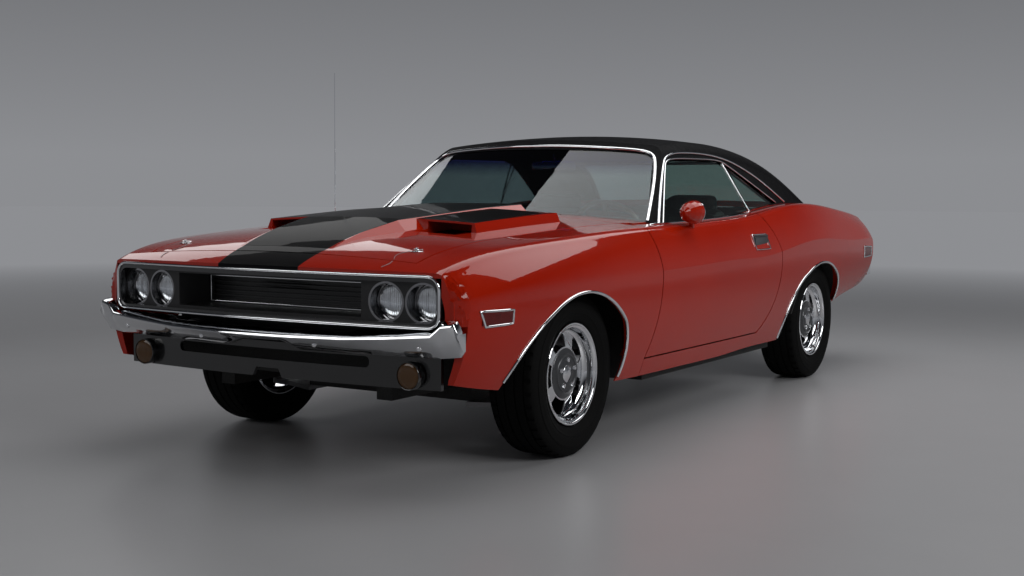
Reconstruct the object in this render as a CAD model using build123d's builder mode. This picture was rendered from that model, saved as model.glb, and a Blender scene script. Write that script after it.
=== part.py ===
from build123d import *
from math import atan2, cos, hypot, pi, radians, sin, tan
import os

os.makedirs("parts", exist_ok=True)

# Overall size of a two-door hardtop muscle car, nose toward -Y, wheels on Z = 0
car_length = 4859.0
wheelbase = 2794.0
front_overhang = 947.0
front_track = 1516.0
rear_track = 1542.0
front_axle_y = front_overhang - car_length / 2
rear_axle_y = front_axle_y + wheelbase

# Tyres and wheels
tire_radius = 332.0
tire_width = 225.0
tread_width = 194.0
tire_bulge_radius = 268.0
tire_sides = 60
rim_radius = 190.0
rim_lip_radius = 207.0
rim_width = 196.0
rim_wall = 7.0
disc_recess = 44.0
disc_thickness = 9.0
wheel_windows = 5
hub_radius = 82.0
lug_count = 5
lug_circle_radius = 57.0
lug_radius = 11.0
cap_radius = 32.0
spindle_radius = 18.0
running_fit = 0.05
seat_gap = 0.3

# Panels and the gaps between them
panel_gap = 6.0
door_gap = 7.0
side_wall = 45.0
top_wall = 34.0
door_wall = 105.0
arch_lip = 10.0

# Body sections behind the front axle. Columns: station, crease x and z, side line x and z,
# sill x and z, and how much the middle of the top stands over the crease
body_sections = [
    (-930, 785, 738, 850, 662, 790, 410, 28),
    (-650, 825, 828, 908, 694, 845, 350, 38),
    (-250, 848, 866, 935, 709, 870, 300, 45),
    (300, 864, 893, 941, 715, 875, 268, 52),
    (900, 872, 906, 950, 722, 878, 262, 56),
    (1500, 877, 918, 960, 733, 880, 262, 50),
    (2050, 872, 950, 966.5, 752, 882, 270, 40),
    (2450, 855, 984, 964, 790, 880, 285, 22),
    (3000, 838, 980, 950, 785, 872, 385, 14),
    (3400, 820, 948, 932, 770, 862, 450, 14),
    (3880, 796, 892, 896, 740, 850, 555, 14),
]
crease_round = 26.0
upper_side_bulge = 8.0
lower_side_bulge = 24.0
body_reach = 1100.0

# Front end, as distances ahead of the front axle at the middle and at the corners
nose_middle = 905.0
nose_corner = 850.0
nose_half_width = 800.0
hood_front = 795.0
hood_rear = 600.0
hood_front_half = 655.0
hood_rear_half = 722.0
bulge_height = 45.0
bulge_start = 740.0
bulge_climb = 5.9
scoop_height = 38.0
scoop_mouth = 30.0
scoop_sink = 18.0
grille_top = 742.0
grille_bottom = 596.0
grille_half_width = nose_half_width - 10
surround_band = 16.0
surround_depth = 34.0
grille_recess = 200.0
grille_plate = 12.0
lamp_panel = 6.0
lamp_depth = 66.0
lamp_radius = 66.0
bezel_radius = 74.0
tunnel_front_half = 470.0
tunnel_back_half = 396.0
tunnel_front_height = 132.0
tunnel_back_height = 110.0
lamp_spacing = 152.0
inner_lamp_x = 555.0
lamp_height = 665.0
bumper_proud = 42.0
bumper_top = 588.0
bumper_bottom = 490.0
bumper_half_width = 905.0
valance_half_width = 765.0
valance_thickness = 16.0
valance_gap = 4.0
valance_bottom = 354.0
parking_lamp_x = 655.0
parking_lamp_height = 405.0
parking_lamp_radius = 46.0

# Bumper sections outward from the middle. Columns: x, ridge height, lower edge, top edge,
# how far the top edge lies behind the ridge, rear top edge, whole depth
bumper_sections = [
    (0, 518, 496, 560, 70, 558, 92),
    (115, 519, 496, 560, 70, 558, 92),
    (180, 520, 471, 560, 70, 558, 92),
    (420, 526, 471, 562, 70, 560, 92),
    (600, 538, 472, 567, 56, 564, 88),
    (780, 552, 474, 572, 34, 569, 78),
    (830, 588, 478, 612, 34, 580, 74),
    (bumper_half_width, 594, 484, 614, 34, 580, 62),
    (bumper_half_width + 24, 560, 506, 576, 34, 568, 56),
]

# Doors
door_front = ((554, 345), (644, 717), (626, 960))
door_rear = ((1830, 345), (2026, 756), (1923, 960))
door_bottom = 345.0

# Greenhouse. The table gives station and height at the middle of the roof
windshield_station = 700.0
windshield_base = 950.0
windshield_rise = 307.0
windshield_run = 429.0
windshield_curve = 1539.0
belt_x = 827.0
belt_z = 870.0
side_lean = 1.97
roof_corner_drop = 104.0
roof_corner_run = 80.0
roof_crown = 36.0
roof_sections = [
    (560, 1180),
    (1050, 1290),
    (1350, 1324),
    (1700, 1343),
    (2050, 1331),
    (2350, 1290),
    (2600, 1219),
    (2820, 1106),
    (3040, 978),
]
roof_wall = 32.0
pillar_wall = 40.0

# Cabin, chassis and running gear
floor_top = 255.0
floor_plate = 28.0
tunnel_half_width = 150.0
tunnel_height = 400.0
rail_x = 395.0
rail_width = 70.0
rail_height = 110.0
steer_pivot_radius = 14.0


def station(s):
    return front_axle_y + s


def cross_plane(s):
    return Plane.XZ.offset(-station(s))


def bulged(start, end, height):
    dx = end[0] - start[0]
    dz = end[1] - start[1]
    length = hypot(dx, dz)
    return ((start[0] + end[0]) / 2 - dz / length * height, (start[1] + end[1]) / 2 + dx / length * height)


# Solid envelope of the lower body's left half, lofted through the sections
with BuildPart() as half_body:
    for s, crease_x, crease_z, side_x, side_z, sill_x, sill_z, crown in body_sections:
        slope = -2 * crown / crease_x
        run = hypot(1, slope)
        side_length = hypot(side_x - crease_x, side_z - crease_z)
        top_point = (crease_x - crease_round / run, crease_z - crease_round * slope / run)
        outer_point = (
            crease_x + (side_x - crease_x) * crease_round / side_length,
            crease_z + (side_z - crease_z) * crease_round / side_length,
        )
        to_top = atan2(top_point[1] - crease_z, top_point[0] - crease_x)
        to_side = atan2(outer_point[1] - crease_z, outer_point[0] - crease_x)
        turn = (to_side - to_top) % (2 * pi)
        half_turn = turn / 2
        middle = to_top + half_turn
        reach = crease_round / cos(half_turn) - crease_round * tan(half_turn)
        round_point = (crease_x + reach * cos(middle), crease_z + reach * sin(middle))
        quarter_x = 0.6 * top_point[0]
        quarter_z = crease_z + crown * (1 - (quarter_x / crease_x) ** 2)
        with BuildSketch(cross_plane(s)):
            with BuildLine():
                ThreePointArc((0, crease_z + crown), (quarter_x, quarter_z), top_point)
                ThreePointArc(top_point, round_point, outer_point)
                upper = bulged(outer_point, (side_x, side_z), upper_side_bulge)
                ThreePointArc(outer_point, upper, (side_x, side_z))
                lower = bulged((side_x, side_z), (sill_x, sill_z), lower_side_bulge)
                ThreePointArc((side_x, side_z), lower, (sill_x, sill_z))
                Line((sill_x, sill_z), (0, sill_z))
                Line((0, sill_z), (0, crease_z + crown))
            make_face()
    loft()

# Plan curves that end the body at the nose and the tail
nose_radius = (nose_half_width**2 + (nose_middle - nose_corner) ** 2) / (2 * (nose_middle - nose_corner))
tail_station = 3842.0
tail_sag = 40.0
tail_half_width = 800.0
tail_radius = (tail_half_width**2 + tail_sag**2) / (2 * tail_sag)

with BuildPart() as body_form:
    add(half_body.part)
    with BuildSketch():
        with Locations((0, station(-nose_middle) + nose_radius)):
            Circle(nose_radius)
    extrude(amount=body_reach, mode=Mode.INTERSECT)
    with BuildSketch():
        with Locations((0, station(tail_station) - tail_radius)):
            Circle(tail_radius)
    extrude(amount=body_reach, mode=Mode.INTERSECT)

body_solid = body_form.part
side_inside = half_body.part.moved(Location((-side_wall, 0, -top_wall)))
skin_inside = half_body.part.moved(Location((-arch_lip, 0, -arch_lip)))
lid_inside = half_body.part.moved(Location((0, 0, -top_wall)))
door_inside = half_body.part.moved(Location((-door_wall, 0, 60)))

# Room around each left wheel, inside the outer skin
front_house_radius = 402.0
rear_house_radius = 372.0
front_house_inner_x = 462.0
rear_house_inner_x = 630.0


def wheel_room(axle_station, radius, inner_x):
    with BuildPart() as room:
        with BuildSketch(Plane.YZ.offset(inner_x)):
            with Locations((station(axle_station), tire_radius)):
                Circle(radius)
        extrude(amount=body_reach - inner_x)
        add(skin_inside, mode=Mode.INTERSECT)
    return room.part


front_room = wheel_room(0, front_house_radius, front_house_inner_x)
rear_room = wheel_room(wheelbase, rear_house_radius, rear_house_inner_x)


def side_point(pair):
    return (station(pair[0]), pair[1])


def side_arc(*pairs):
    return ThreePointArc(*[side_point(pair) for pair in pairs])


def side_line(*pairs):
    return Polyline(*[side_point(pair) for pair in pairs])


# Front wheel opening, from its front foot over the wheel to its rear foot
front_arch = (
    ((-562, 335), (-452, 490), (-292, 598)),
    ((-292, 598), (25, 658), (298, 528)),
    ((298, 528), (342, 400), (312, 240)),
)
rear_arch = (
    ((2190, 240), (2276, 490), (2470, 610)),
    ((2470, 610), (2790, 656), (3020, 580)),
    ((3020, 580), (3108, 480), (3130, 360)),
)

with BuildPart() as fender_left:
    add(body_solid)
    add(side_inside, mode=Mode.SUBTRACT)
    add(front_room, mode=Mode.SUBTRACT)
    with BuildSketch(Plane.YZ):
        with BuildLine():
            side_line((-930, 1000), (-930, bumper_top + 2), (-806, bumper_top + 2))
            side_line((-806, bumper_top + 2), (-806, 372), front_arch[0][0])
            for arc in front_arch:
                side_arc(*arc)
            fender_rear = door_front[0][0] - door_gap
            side_line(front_arch[2][2], (fender_rear, 240), (fender_rear, 345))
            side_arc(
                (fender_rear, 345),
                (door_front[1][0] - door_gap, door_front[1][1]),
                (door_front[2][0] - door_gap, 960),
            )
            side_line((door_front[2][0] - door_gap, 960), (door_front[2][0] - door_gap, 1000), (-930, 1000))
        make_face()
    extrude(amount=body_reach, mode=Mode.INTERSECT)
    # Room for the hood, the grille and the bumper
    with BuildSketch():
        with BuildLine():
            Polyline(
                (0, station(-950)),
                (nose_half_width, station(-950)),
                (nose_half_width, station(-hood_front - panel_gap)),
                (hood_front_half + panel_gap, station(-hood_front - panel_gap)),
                (hood_rear_half + panel_gap, station(hood_rear + 45)),
                (hood_rear_half + panel_gap, station(700)),
                (0, station(700)),
                close=True,
            )
        make_face()
    extrude(amount=body_reach, mode=Mode.SUBTRACT)
    fender_left.part.label = "fender_left"

with BuildPart() as fender_right:
    mirror(fender_left.part, about=Plane.YZ)
    fender_right.part.label = "fender_right"

with BuildPart() as door_left:
    add(body_solid)
    add(door_inside, mode=Mode.SUBTRACT)
    with BuildSketch(Plane.YZ):
        with BuildLine():
            side_arc(*door_front)
            side_line(door_front[2], door_rear[2])
            side_arc(*reversed(door_rear))
            side_line(door_rear[0], door_front[0])
        make_face()
    extrude(amount=body_reach, mode=Mode.INTERSECT)
    door_left.part.label = "door_left"

with BuildPart() as quarter_left:
    add(body_solid)
    add(side_inside, mode=Mode.SUBTRACT)
    add(rear_room, mode=Mode.SUBTRACT)
    with BuildSketch(Plane.YZ):
        with BuildLine():
            sill_front = door_front[0][0] - door_gap
            door_sill = door_bottom - door_gap
            side_line((sill_front + panel_gap / 2, 240), (sill_front + panel_gap / 2, door_sill))
            side_line((sill_front + panel_gap / 2, door_sill), (door_rear[0][0] + door_gap, door_sill))
            side_arc(
                (door_rear[0][0] + door_gap, door_sill),
                (door_rear[1][0] + door_gap, door_rear[1][1]),
                (door_rear[2][0] + door_gap, 960),
            )
            side_line((door_rear[2][0] + door_gap, 960), (door_rear[2][0] + door_gap, 1050), (3900, 1050))
            side_line((3900, 1050), (3900, 360), rear_arch[2][2])
            for arc in reversed(rear_arch):
                side_arc(*reversed(arc))
            side_line(rear_arch[0][0], (sill_front + panel_gap / 2, 240))
        make_face()
    extrude(amount=body_reach, mode=Mode.INTERSECT)
    with BuildSketch():
        with BuildLine():
            Polyline(
                (0, station(500)),
                (740, station(500)),
                (740, station(2900)),
                (650, station(3050)),
                (650, station(3900)),
                (0, station(3900)),
                close=True,
            )
        make_face()
    extrude(amount=body_reach, mode=Mode.SUBTRACT)
    # Rubber stops on the sill under the door
    with BuildSketch(Plane.XY.offset(door_bottom - door_gap)):
        with Locations((858, station(720)), (858, station(1680))):
            Rectangle(16, 50)
    extrude(amount=door_gap - seat_gap)
    quarter_left.part.label = "quarter_left"

with BuildPart() as quarter_right:
    mirror(quarter_left.part, about=Plane.YZ)
    quarter_right.part.label = "quarter_right"

# Outline of the left half of the hood, seen from above
with BuildPart() as hood_plan:
    with BuildSketch():
        with BuildLine():
            Polyline(
                (0, station(-hood_front)),
                (hood_front_half, station(-hood_front)),
                (hood_rear_half, station(hood_rear + 40)),
            )
            ThreePointArc(
                (hood_rear_half, station(hood_rear + 40)),
                (0.5 * hood_rear_half, station(hood_rear + 10)),
                (0, station(hood_rear)),
            )
            Line((0, station(hood_rear)), (0, station(-hood_front)))
        make_face()
    extrude(amount=body_reach)


def raised_block(low, high, outline):
    # Sloping sides. Columns: x and station at the foot, x and station at the top
    with BuildPart() as block:
        for height, column in ((low, 0), (high, 2)):
            with BuildSketch(Plane.XY.offset(height)):
                with BuildLine():
                    Polyline(*[(row[column], station(row[column + 1])) for row in outline], close=True)
                make_face()
        loft(ruled=True)
    return block.part


# Raised middle that climbs out of the skin, and a scoop on each side of it
bulge_outline = (
    (0, -bulge_start, 0, -bulge_start),
    (250, -bulge_start, 80, -bulge_start),
    (358, -350, 188, -350),
    (398, 300, 228, 300),
    (412, 700, 242, 700),
    (0, 700, 0, 700),
)
scoop_outline = (
    (200, -235, 200, -215),
    (560, -235, 505, -215),
    (598, 410, 543, 380),
    (570, 470, 515, 330),
    (200, 470, 200, 330),
)
with BuildPart() as bulge:
    add(raised_block(820, 1000, bulge_outline))
    add(half_body.part.moved(Location((0, 0, bulge_height))), mode=Mode.INTERSECT)
    add(
        half_body.part.rotate(Axis((0, station(-bulge_start), 830), (1, 0, 0)), bulge_climb),
        mode=Mode.INTERSECT,
    )
    add(hood_plan.part, mode=Mode.INTERSECT)

with BuildPart() as scoop:
    add(raised_block(840, 1000, scoop_outline))
    add(half_body.part.moved(Location((0, 0, scoop_height))), mode=Mode.INTERSECT)

with BuildPart() as scoop_pocket:
    with BuildSketch():
        with BuildLine():
            Polyline(
                (305, station(-330)),
                (505, station(-330)),
                (535, station(-60)),
                (305, station(-60)),
                close=True,
            )
        make_face()
    extrude(amount=body_reach)
    add(half_body.part.moved(Location((0, 0, scoop_mouth))), mode=Mode.INTERSECT)
    add(half_body.part.moved(Location((0, 0, -scoop_sink))), mode=Mode.SUBTRACT)

with BuildPart() as hood:
    add(hood_plan.part)
    add(body_solid, mode=Mode.INTERSECT)
    add(bulge.part)
    add(scoop.part)
    add(lid_inside, mode=Mode.SUBTRACT)
    add(scoop_pocket.part, mode=Mode.SUBTRACT)
    mirror(about=Plane.YZ)
    hood.part.label = "hood"

# Panel between the grille and the hood
with BuildPart() as header_panel:
    with BuildSketch(Plane.XY.offset(grille_top + surround_band)):
        with BuildLine():
            Polyline(
                (0, station(-hood_front - panel_gap)),
                (nose_half_width - 1, station(-hood_front - panel_gap)),
                (nose_half_width - 1, station(-950)),
                (0, station(-950)),
                close=True,
            )
        make_face()
    extrude(amount=200)
    add(body_solid, mode=Mode.INTERSECT)
    mirror(about=Plane.YZ)
    header_panel.part.label = "header_panel"


def nose_band(front_gap, depth, low, high, half_width=body_reach):
    with BuildPart() as band:
        with BuildSketch(Plane.XY.offset(low)):
            with Locations((0, station(-nose_middle) + nose_radius)):
                Circle(nose_radius - front_gap)
                Circle(nose_radius - front_gap - depth, mode=Mode.SUBTRACT)
            with Locations((0, station(-nose_middle) + 300)):
                Rectangle(2 * half_width, 700, mode=Mode.INTERSECT)
        extrude(amount=high - low)
    return band.part


def nose_station(behind, x):
    return behind - nose_middle + nose_radius - (nose_radius**2 - x**2) ** 0.5


grille_middle = (grille_top + grille_bottom) / 2
grille_height = grille_top - grille_bottom
panel_front = surround_depth + seat_gap
plate_front = grille_recess - grille_plate
lamp_places = [
    (side * (inner_lamp_x + place * lamp_spacing), lamp_height) for side in (-1, 1) for place in (0, 1)
]

nose_front_cut = nose_band(-100, 100 + panel_front, grille_bottom - 60, grille_top + 60)

# Bright frame round the grille and the lamps
surround_blank = nose_band(0, surround_depth, grille_bottom - surround_band, grille_top + surround_band)
with BuildPart() as grille_surround:
    add(surround_blank)
    with BuildSketch(cross_plane(-nose_half_width + 300)):
        with Locations((0, grille_middle)):
            RectangleRounded(2 * nose_half_width - 4, grille_height + 2 * surround_band - 2 * seat_gap, 50)
            RectangleRounded(2 * grille_half_width - 20, grille_height, 42, mode=Mode.SUBTRACT)
    extrude(amount=600, mode=Mode.INTERSECT)
    grille_surround.part.label = "grille_surround"

# Dark grille: a back plate with thin level bars, a lamp panel with four round holes
# behind the frame, and a tunnel that narrows from the panel to the plate
bar_count = 6
bar_height = 5.0
bar_depth = 14.0
tunnel_wall = 5.0
with BuildPart() as grille_tunnel:
    for wall, back, mode in ((tunnel_wall, 0, Mode.ADD), (0, 1, Mode.SUBTRACT)):
        with BuildSketch(cross_plane(-nose_middle)):
            with Locations((0, grille_middle)):
                Rectangle(2 * (tunnel_front_half + wall), tunnel_front_height + 2 * wall)
        with BuildSketch(cross_plane(-nose_middle + plate_front + 6 + back)):
            with Locations((0, grille_middle)):
                Rectangle(2 * (tunnel_back_half + wall), tunnel_back_height + 2 * wall)
        loft(ruled=True, mode=mode)
    add(nose_front_cut, mode=Mode.SUBTRACT)

with BuildPart() as grille:
    add(nose_band(panel_front, lamp_panel, grille_bottom - 8, grille_top + 8, grille_half_width))
    with BuildSketch(cross_plane(-nose_middle)):
        with Locations(*lamp_places):
            Circle(bezel_radius + seat_gap)
        with Locations((0, grille_middle)):
            Rectangle(2 * tunnel_front_half - 30, tunnel_front_height - 3)
    extrude(amount=-(grille_recess - 50), mode=Mode.SUBTRACT)
    add(grille_tunnel.part)
    add(nose_band(plate_front, grille_plate, grille_bottom - 8, grille_top - 4, grille_half_width))
    for row in range(bar_count):
        spacing = (tunnel_back_height - 20) / (bar_count - 1)
        low = grille_middle - tunnel_back_height / 2 + 10 + row * spacing - bar_height / 2
        add(nose_band(plate_front - bar_depth, bar_depth, low, low + bar_height, tunnel_back_half - 2))
    # Webs that tie the panel to the plate outside the lamps
    for side in (-1, 1):
        web_x = side * (grille_half_width - 6)
        with BuildSketch(Plane.YZ.offset(web_x - 3)):
            front = nose_station(panel_front + 3, web_x)
            back = nose_station(plate_front + 3, web_x)
            with Locations((station((front + back) / 2), grille_middle)):
                Rectangle(back - front, grille_height - 30)
        extrude(amount=6)
    grille.part.label = "grille"

# Four round lamps, each at the foot of a bright tube
with BuildPart() as headlamps:
    for lamp_x, lamp_z in lamp_places:
        lens_station = nose_station(panel_front + lamp_depth, lamp_x)
        with BuildSketch(cross_plane(-nose_middle)):
            with Locations((lamp_x, lamp_z)):
                Circle(bezel_radius)
        extrude(amount=-1.5 * grille_recess)
        with BuildSketch(cross_plane(-nose_middle)):
            with Locations((lamp_x, lamp_z)):
                Circle(lamp_radius)
        extrude(amount=-(nose_middle + lens_station), mode=Mode.SUBTRACT)
    add(nose_front_cut, mode=Mode.SUBTRACT)
    add(nose_band(plate_front, 1.5 * grille_recess, grille_bottom - 60, grille_top + 60), mode=Mode.SUBTRACT)
    headlamps.part.label = "headlamps"

# Front bumper blade that follows the nose, with upturned ends
with BuildPart() as front_bumper:
    for x, ridge, low, top, lip_depth, rear_top, depth in bumper_sections:
        front = nose_station(-bumper_proud, x)
        with BuildSketch(Plane.YZ.offset(x)):
            with BuildLine():
                side_line(
                    (front, ridge),
                    (front + 4, ridge + 10),
                    (front + lip_depth, top),
                    (front + lip_depth, rear_top),
                    (front + depth, rear_top),
                    (front + depth, low),
                    (front + depth - 16, low),
                    (front + 0.4 * depth, low + 0.4 * (ridge - low)),
                    (front, ridge),
                )
            make_face()
    loft(ruled=True)
    mirror(about=Plane.YZ)
    front_bumper.part.label = "front_bumper"

# Painted panel under the bumper, with an intake and a raised middle
bumper_behind = bumper_sections[3][6] - bumper_proud
valance_front = bumper_behind + valance_gap
with BuildPart() as front_valance:
    add(nose_band(valance_front, valance_thickness, valance_bottom, bumper_bottom, valance_half_width))
    with BuildSketch(cross_plane(-nose_middle)):
        with Locations((0, 441)):
            RectangleRounded(940, 42, 18)
        with BuildLine():
            Polyline((-100, 300), (-55, 388), (55, 388), (100, 300), close=True)
        make_face()
    extrude(amount=-300, mode=Mode.SUBTRACT)
    front_valance.part.label = "front_valance"

# Greenhouse form: leaning sides, crowned roof and a long sloping tail
with BuildPart() as cabin_form:
    for s, height in roof_sections:
        corner_z = height - roof_corner_drop
        corner_x = belt_x - (corner_z - belt_z) / side_lean
        crown_x = corner_x - roof_corner_run
        crown_z = height - roof_crown
        with BuildSketch(cross_plane(s)):
            with BuildLine():
                Polyline((0, height), (0, belt_z - 10), (belt_x, belt_z - 10))
                Polyline((belt_x, belt_z - 10), (belt_x, belt_z), (corner_x, corner_z))
                corner_mid_x = corner_x - 0.352 * roof_corner_run
                ThreePointArc((corner_x, corner_z), (corner_mid_x, corner_z + 46), (crown_x, crown_z))
                ThreePointArc((crown_x, crown_z), (crown_x / 2, height - roof_crown / 4), (0, height))
            make_face()
    loft()


def leaning_round(center_station, radius, low, run, rise, height):
    with BuildPart() as leaning:
        with BuildSketch(Plane.XY.offset(low)) as foot:
            with Locations((0, station(center_station))):
                Circle(radius)
        slant = Vector(0, run, rise).normalized()
        extrude(amount=height / slant.Z, dir=slant)
    return leaning.part


screen_low = 860.0
screen_foot = windshield_station - (windshield_base - screen_low) * windshield_run / windshield_rise
screen_form = leaning_round(
    screen_foot + windshield_curve, windshield_curve, screen_low, windshield_run, windshield_rise, 500
)
backlight_curve = 2400.0
backlight_foot = 3032.0
backlight_run = -521.0
backlight_rise = 300.0
backlight_form = leaning_round(
    backlight_foot + 200 - backlight_curve, backlight_curve, screen_low, backlight_run, backlight_rise, 500
)

with BuildPart() as roof_outer:
    add(cabin_form.part)
    add(screen_form, mode=Mode.INTERSECT)

roof_inner = roof_outer.part.moved(Location((-pillar_wall, 0, -roof_wall)))

# Side glass opening. Front foot, front top, rear top and rear tip, as station and height
window_outline = (
    (900, 880),
    (1215, 1165),
    (1262, 1198),
    (1350, 1214),
    (1890, 1217),
    (2010, 1196),
    (2455, 995),
    (2110, 950),
    (2000, 880),
)
with BuildPart() as roof:
    add(roof_outer.part)
    add(roof_inner, mode=Mode.SUBTRACT)
    with BuildSketch(Plane.YZ.offset(300)):
        with BuildLine():
            side_line(*window_outline, window_outline[0])
        make_face()
    extrude(amount=body_reach, mode=Mode.SUBTRACT)
    with BuildSketch(cross_plane(560)):
        with BuildLine():
            Polyline((0, 1262), (0, 860), (786, 860), (618, 1215))
            ThreePointArc((618, 1215), (600, 1233), (560, 1242))
            ThreePointArc((560, 1242), (290, 1257), (0, 1262))
        make_face()
    extrude(amount=-800, mode=Mode.SUBTRACT)
    with BuildSketch(cross_plane(2400)):
        with BuildLine():
            Polyline((0, 860), (640, 860), (500, 1205))
            ThreePointArc((500, 1205), (250, 1222), (0, 1228))
            Line((0, 1228), (0, 860))
        make_face()
    extrude(amount=-800, mode=Mode.SUBTRACT)
    add(body_solid, mode=Mode.SUBTRACT)
    mirror(about=Plane.YZ)
    roof.part.label = "roof"

# Glass
glass_setback = 4.0
glass_run = 11.0
screen_glass_form = screen_form.moved(Location((0, glass_setback, 0)))
screen_glass_back = screen_form.moved(Location((0, glass_setback + glass_run, 0)))
with BuildPart() as windshield:
    with BuildSketch(cross_plane(560)):
        with BuildLine():
            Polyline((0, 1261.5), (0, 860), (785.5, 860), (617.5, 1214.5))
            ThreePointArc((617.5, 1214.5), (599.5, 1232.5), (559.8, 1241.5))
            ThreePointArc((559.8, 1241.5), (290, 1256.5), (0, 1261.5))
        make_face()
    extrude(amount=-800)
    add(screen_glass_form, mode=Mode.INTERSECT)
    add(screen_glass_back, mode=Mode.SUBTRACT)
    add(body_solid, mode=Mode.SUBTRACT)
    mirror(about=Plane.YZ)
    windshield.part.label = "windshield"

back_glass_form = backlight_form.moved(Location((0, -glass_setback, 0)))
back_glass_inner = backlight_form.moved(Location((0, -glass_setback - glass_run, 0)))
with BuildPart() as rear_window:
    with BuildSketch(cross_plane(2400)):
        with BuildLine():
            Polyline((0, 860), (639, 860), (499.6, 1204.5))
            ThreePointArc((499.6, 1204.5), (250, 1221.5), (0, 1227.5))
            Line((0, 1227.5), (0, 860))
        make_face()
    extrude(amount=-800)
    add(back_glass_form, mode=Mode.INTERSECT)
    add(back_glass_inner, mode=Mode.SUBTRACT)
    add(body_solid, mode=Mode.SUBTRACT)
    mirror(about=Plane.YZ)
    rear_window.part.label = "rear_window"


def side_glass(outline):
    with BuildPart() as pane:
        with BuildSketch(cross_plane(600)):
            with BuildLine():
                Polyline((817, 870), (624, 1250), (617, 1250), (810, 870), close=True)
            make_face()
        extrude(amount=-2000)
        with BuildSketch(Plane.YZ.offset(300)):
            with BuildLine():
                side_line(*outline, outline[0])
            make_face()
        extrude(amount=body_reach, mode=Mode.INTERSECT)
        add(body_solid, mode=Mode.SUBTRACT)
    return pane.part


door_pane = side_glass(
    ((911, 880), (1219, 1158), (1265, 1191), (1351, 1207.5), (1889, 1210.5), (2001, 1191), (2030, 880))
)
quarter_pane = side_glass(((2012, 1189), (2443, 996), (2107, 956), (2046, 880)))
with BuildPart() as door_glass_left:
    add(door_pane)
    door_glass_left.part.label = "door_glass_left"

with BuildPart() as quarter_glass:
    add(quarter_pane)
    mirror(about=Plane.YZ)
    quarter_glass.part.label = "quarter_glass"

# Driver's door mirror: a many-sided bullet on a leaning stalk
mirror_x = 900.0
mirror_station = 1060.0
mirror_rise = 95.0
mirror_radius = 54.0
mirror_length = 118.0
mirror_height = belt_z + mirror_rise
mirror_sections = ((0, 1), (0.3, 0.96), (0.6, 0.8), (0.85, 0.52), (1, 0.16))
with BuildPart() as door_mirror:
    for along, share in mirror_sections:
        with BuildSketch(cross_plane(mirror_station - along * mirror_length)):
            with Locations((mirror_x, mirror_height)):
                RegularPolygon(share * mirror_radius, 20)
    loft(ruled=True)
    foot = Vector(mirror_x - 38, station(mirror_station + 60), belt_z + 10)
    head = Vector(mirror_x, station(mirror_station - 40), mirror_height)
    with BuildSketch(Plane(origin=foot, z_dir=head - foot)):
        RegularPolygon(13, 8)
    extrude(amount=(head - foot).length)
    add(body_solid, mode=Mode.SUBTRACT)
    door_mirror.part.label = "door_mirror"

with BuildPart() as door_right:
    mirror(door_left.part, about=Plane.YZ)
    door_right.part.label = "door_right"

with BuildPart() as door_glass_right:
    mirror(door_glass_left.part, about=Plane.YZ)
    door_glass_right.part.label = "door_glass_right"

# Cowl, deck and tail
with BuildPart() as cowl_panel:
    with BuildSketch():
        with BuildLine():
            rear_edge = hood_rear + panel_gap
            ThreePointArc(
                (0, station(rear_edge)),
                (0.5 * hood_rear_half, station(rear_edge + 10)),
                (hood_rear_half + panel_gap - 1, station(rear_edge + 40)),
            )
            Polyline(
                (hood_rear_half + panel_gap - 1, station(rear_edge + 40)),
                (735, station(720)),
                (752, station(720)),
                (752, station(980)),
                (740, station(980)),
            )
            ThreePointArc((740, station(980)), (400, station(850)), (0, station(800)))
            Line((0, station(800)), (0, station(rear_edge)))
        make_face()
    extrude(amount=body_reach)
    add(body_solid, mode=Mode.INTERSECT)
    add(lid_inside, mode=Mode.SUBTRACT)
    mirror(about=Plane.YZ)
    cowl_panel.part.label = "cowl_panel"

lid_front = 3091.0
lid_half = 644.0
with BuildPart() as trunk_lid:
    with BuildSketch():
        with Locations((lid_half / 2, station(3500))):
            Rectangle(lid_half, 2 * (3500 - lid_front))
    extrude(amount=body_reach)
    add(body_solid, mode=Mode.INTERSECT)
    add(lid_inside, mode=Mode.SUBTRACT)
    mirror(about=Plane.YZ)
    trunk_lid.part.label = "trunk_lid"

with BuildPart() as upper_rear_panel:
    with BuildSketch():
        with BuildLine():
            Polyline(
                (0, station(2880)),
                (735, station(2880)),
                (645, station(3030)),
                (645, station(lid_front - panel_gap)),
                (0, station(lid_front - panel_gap)),
                close=True,
            )
        make_face()
    extrude(amount=body_reach)
    add(body_solid, mode=Mode.INTERSECT)
    add(lid_inside, mode=Mode.SUBTRACT)
    mirror(about=Plane.YZ)
    upper_rear_panel.part.label = "upper_rear_panel"


def tail_band(behind, depth, low, high, half_width=body_reach):
    with BuildPart() as band:
        with BuildSketch(Plane.XY.offset(low)):
            with Locations((0, station(tail_station) - tail_radius)):
                Circle(tail_radius + behind)
                Circle(tail_radius + behind - depth, mode=Mode.SUBTRACT)
            with Locations((0, station(tail_station) - 200)):
                Rectangle(2 * half_width, 700, mode=Mode.INTERSECT)
        extrude(amount=high - low)
    return band.part


tail_inside = half_body.part.moved(Location((-side_wall - 3, 0, -top_wall - panel_gap)))
with BuildPart() as lid_rest:
    with BuildSketch(Plane.XY.offset(700)):
        with Locations((20, station(tail_station - 45))):
            Rectangle(40, 24)
    extrude(amount=300)
    add(half_body.part.moved(Location((0, 0, -top_wall - seat_gap))), mode=Mode.INTERSECT)

with BuildPart() as tail_panel:
    add(tail_band(-14, 25, 515, 900))
    add(tail_inside, mode=Mode.INTERSECT)
    add(lid_rest.part)
    mirror(about=Plane.YZ)
    tail_panel.part.label = "tail_panel"

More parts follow.
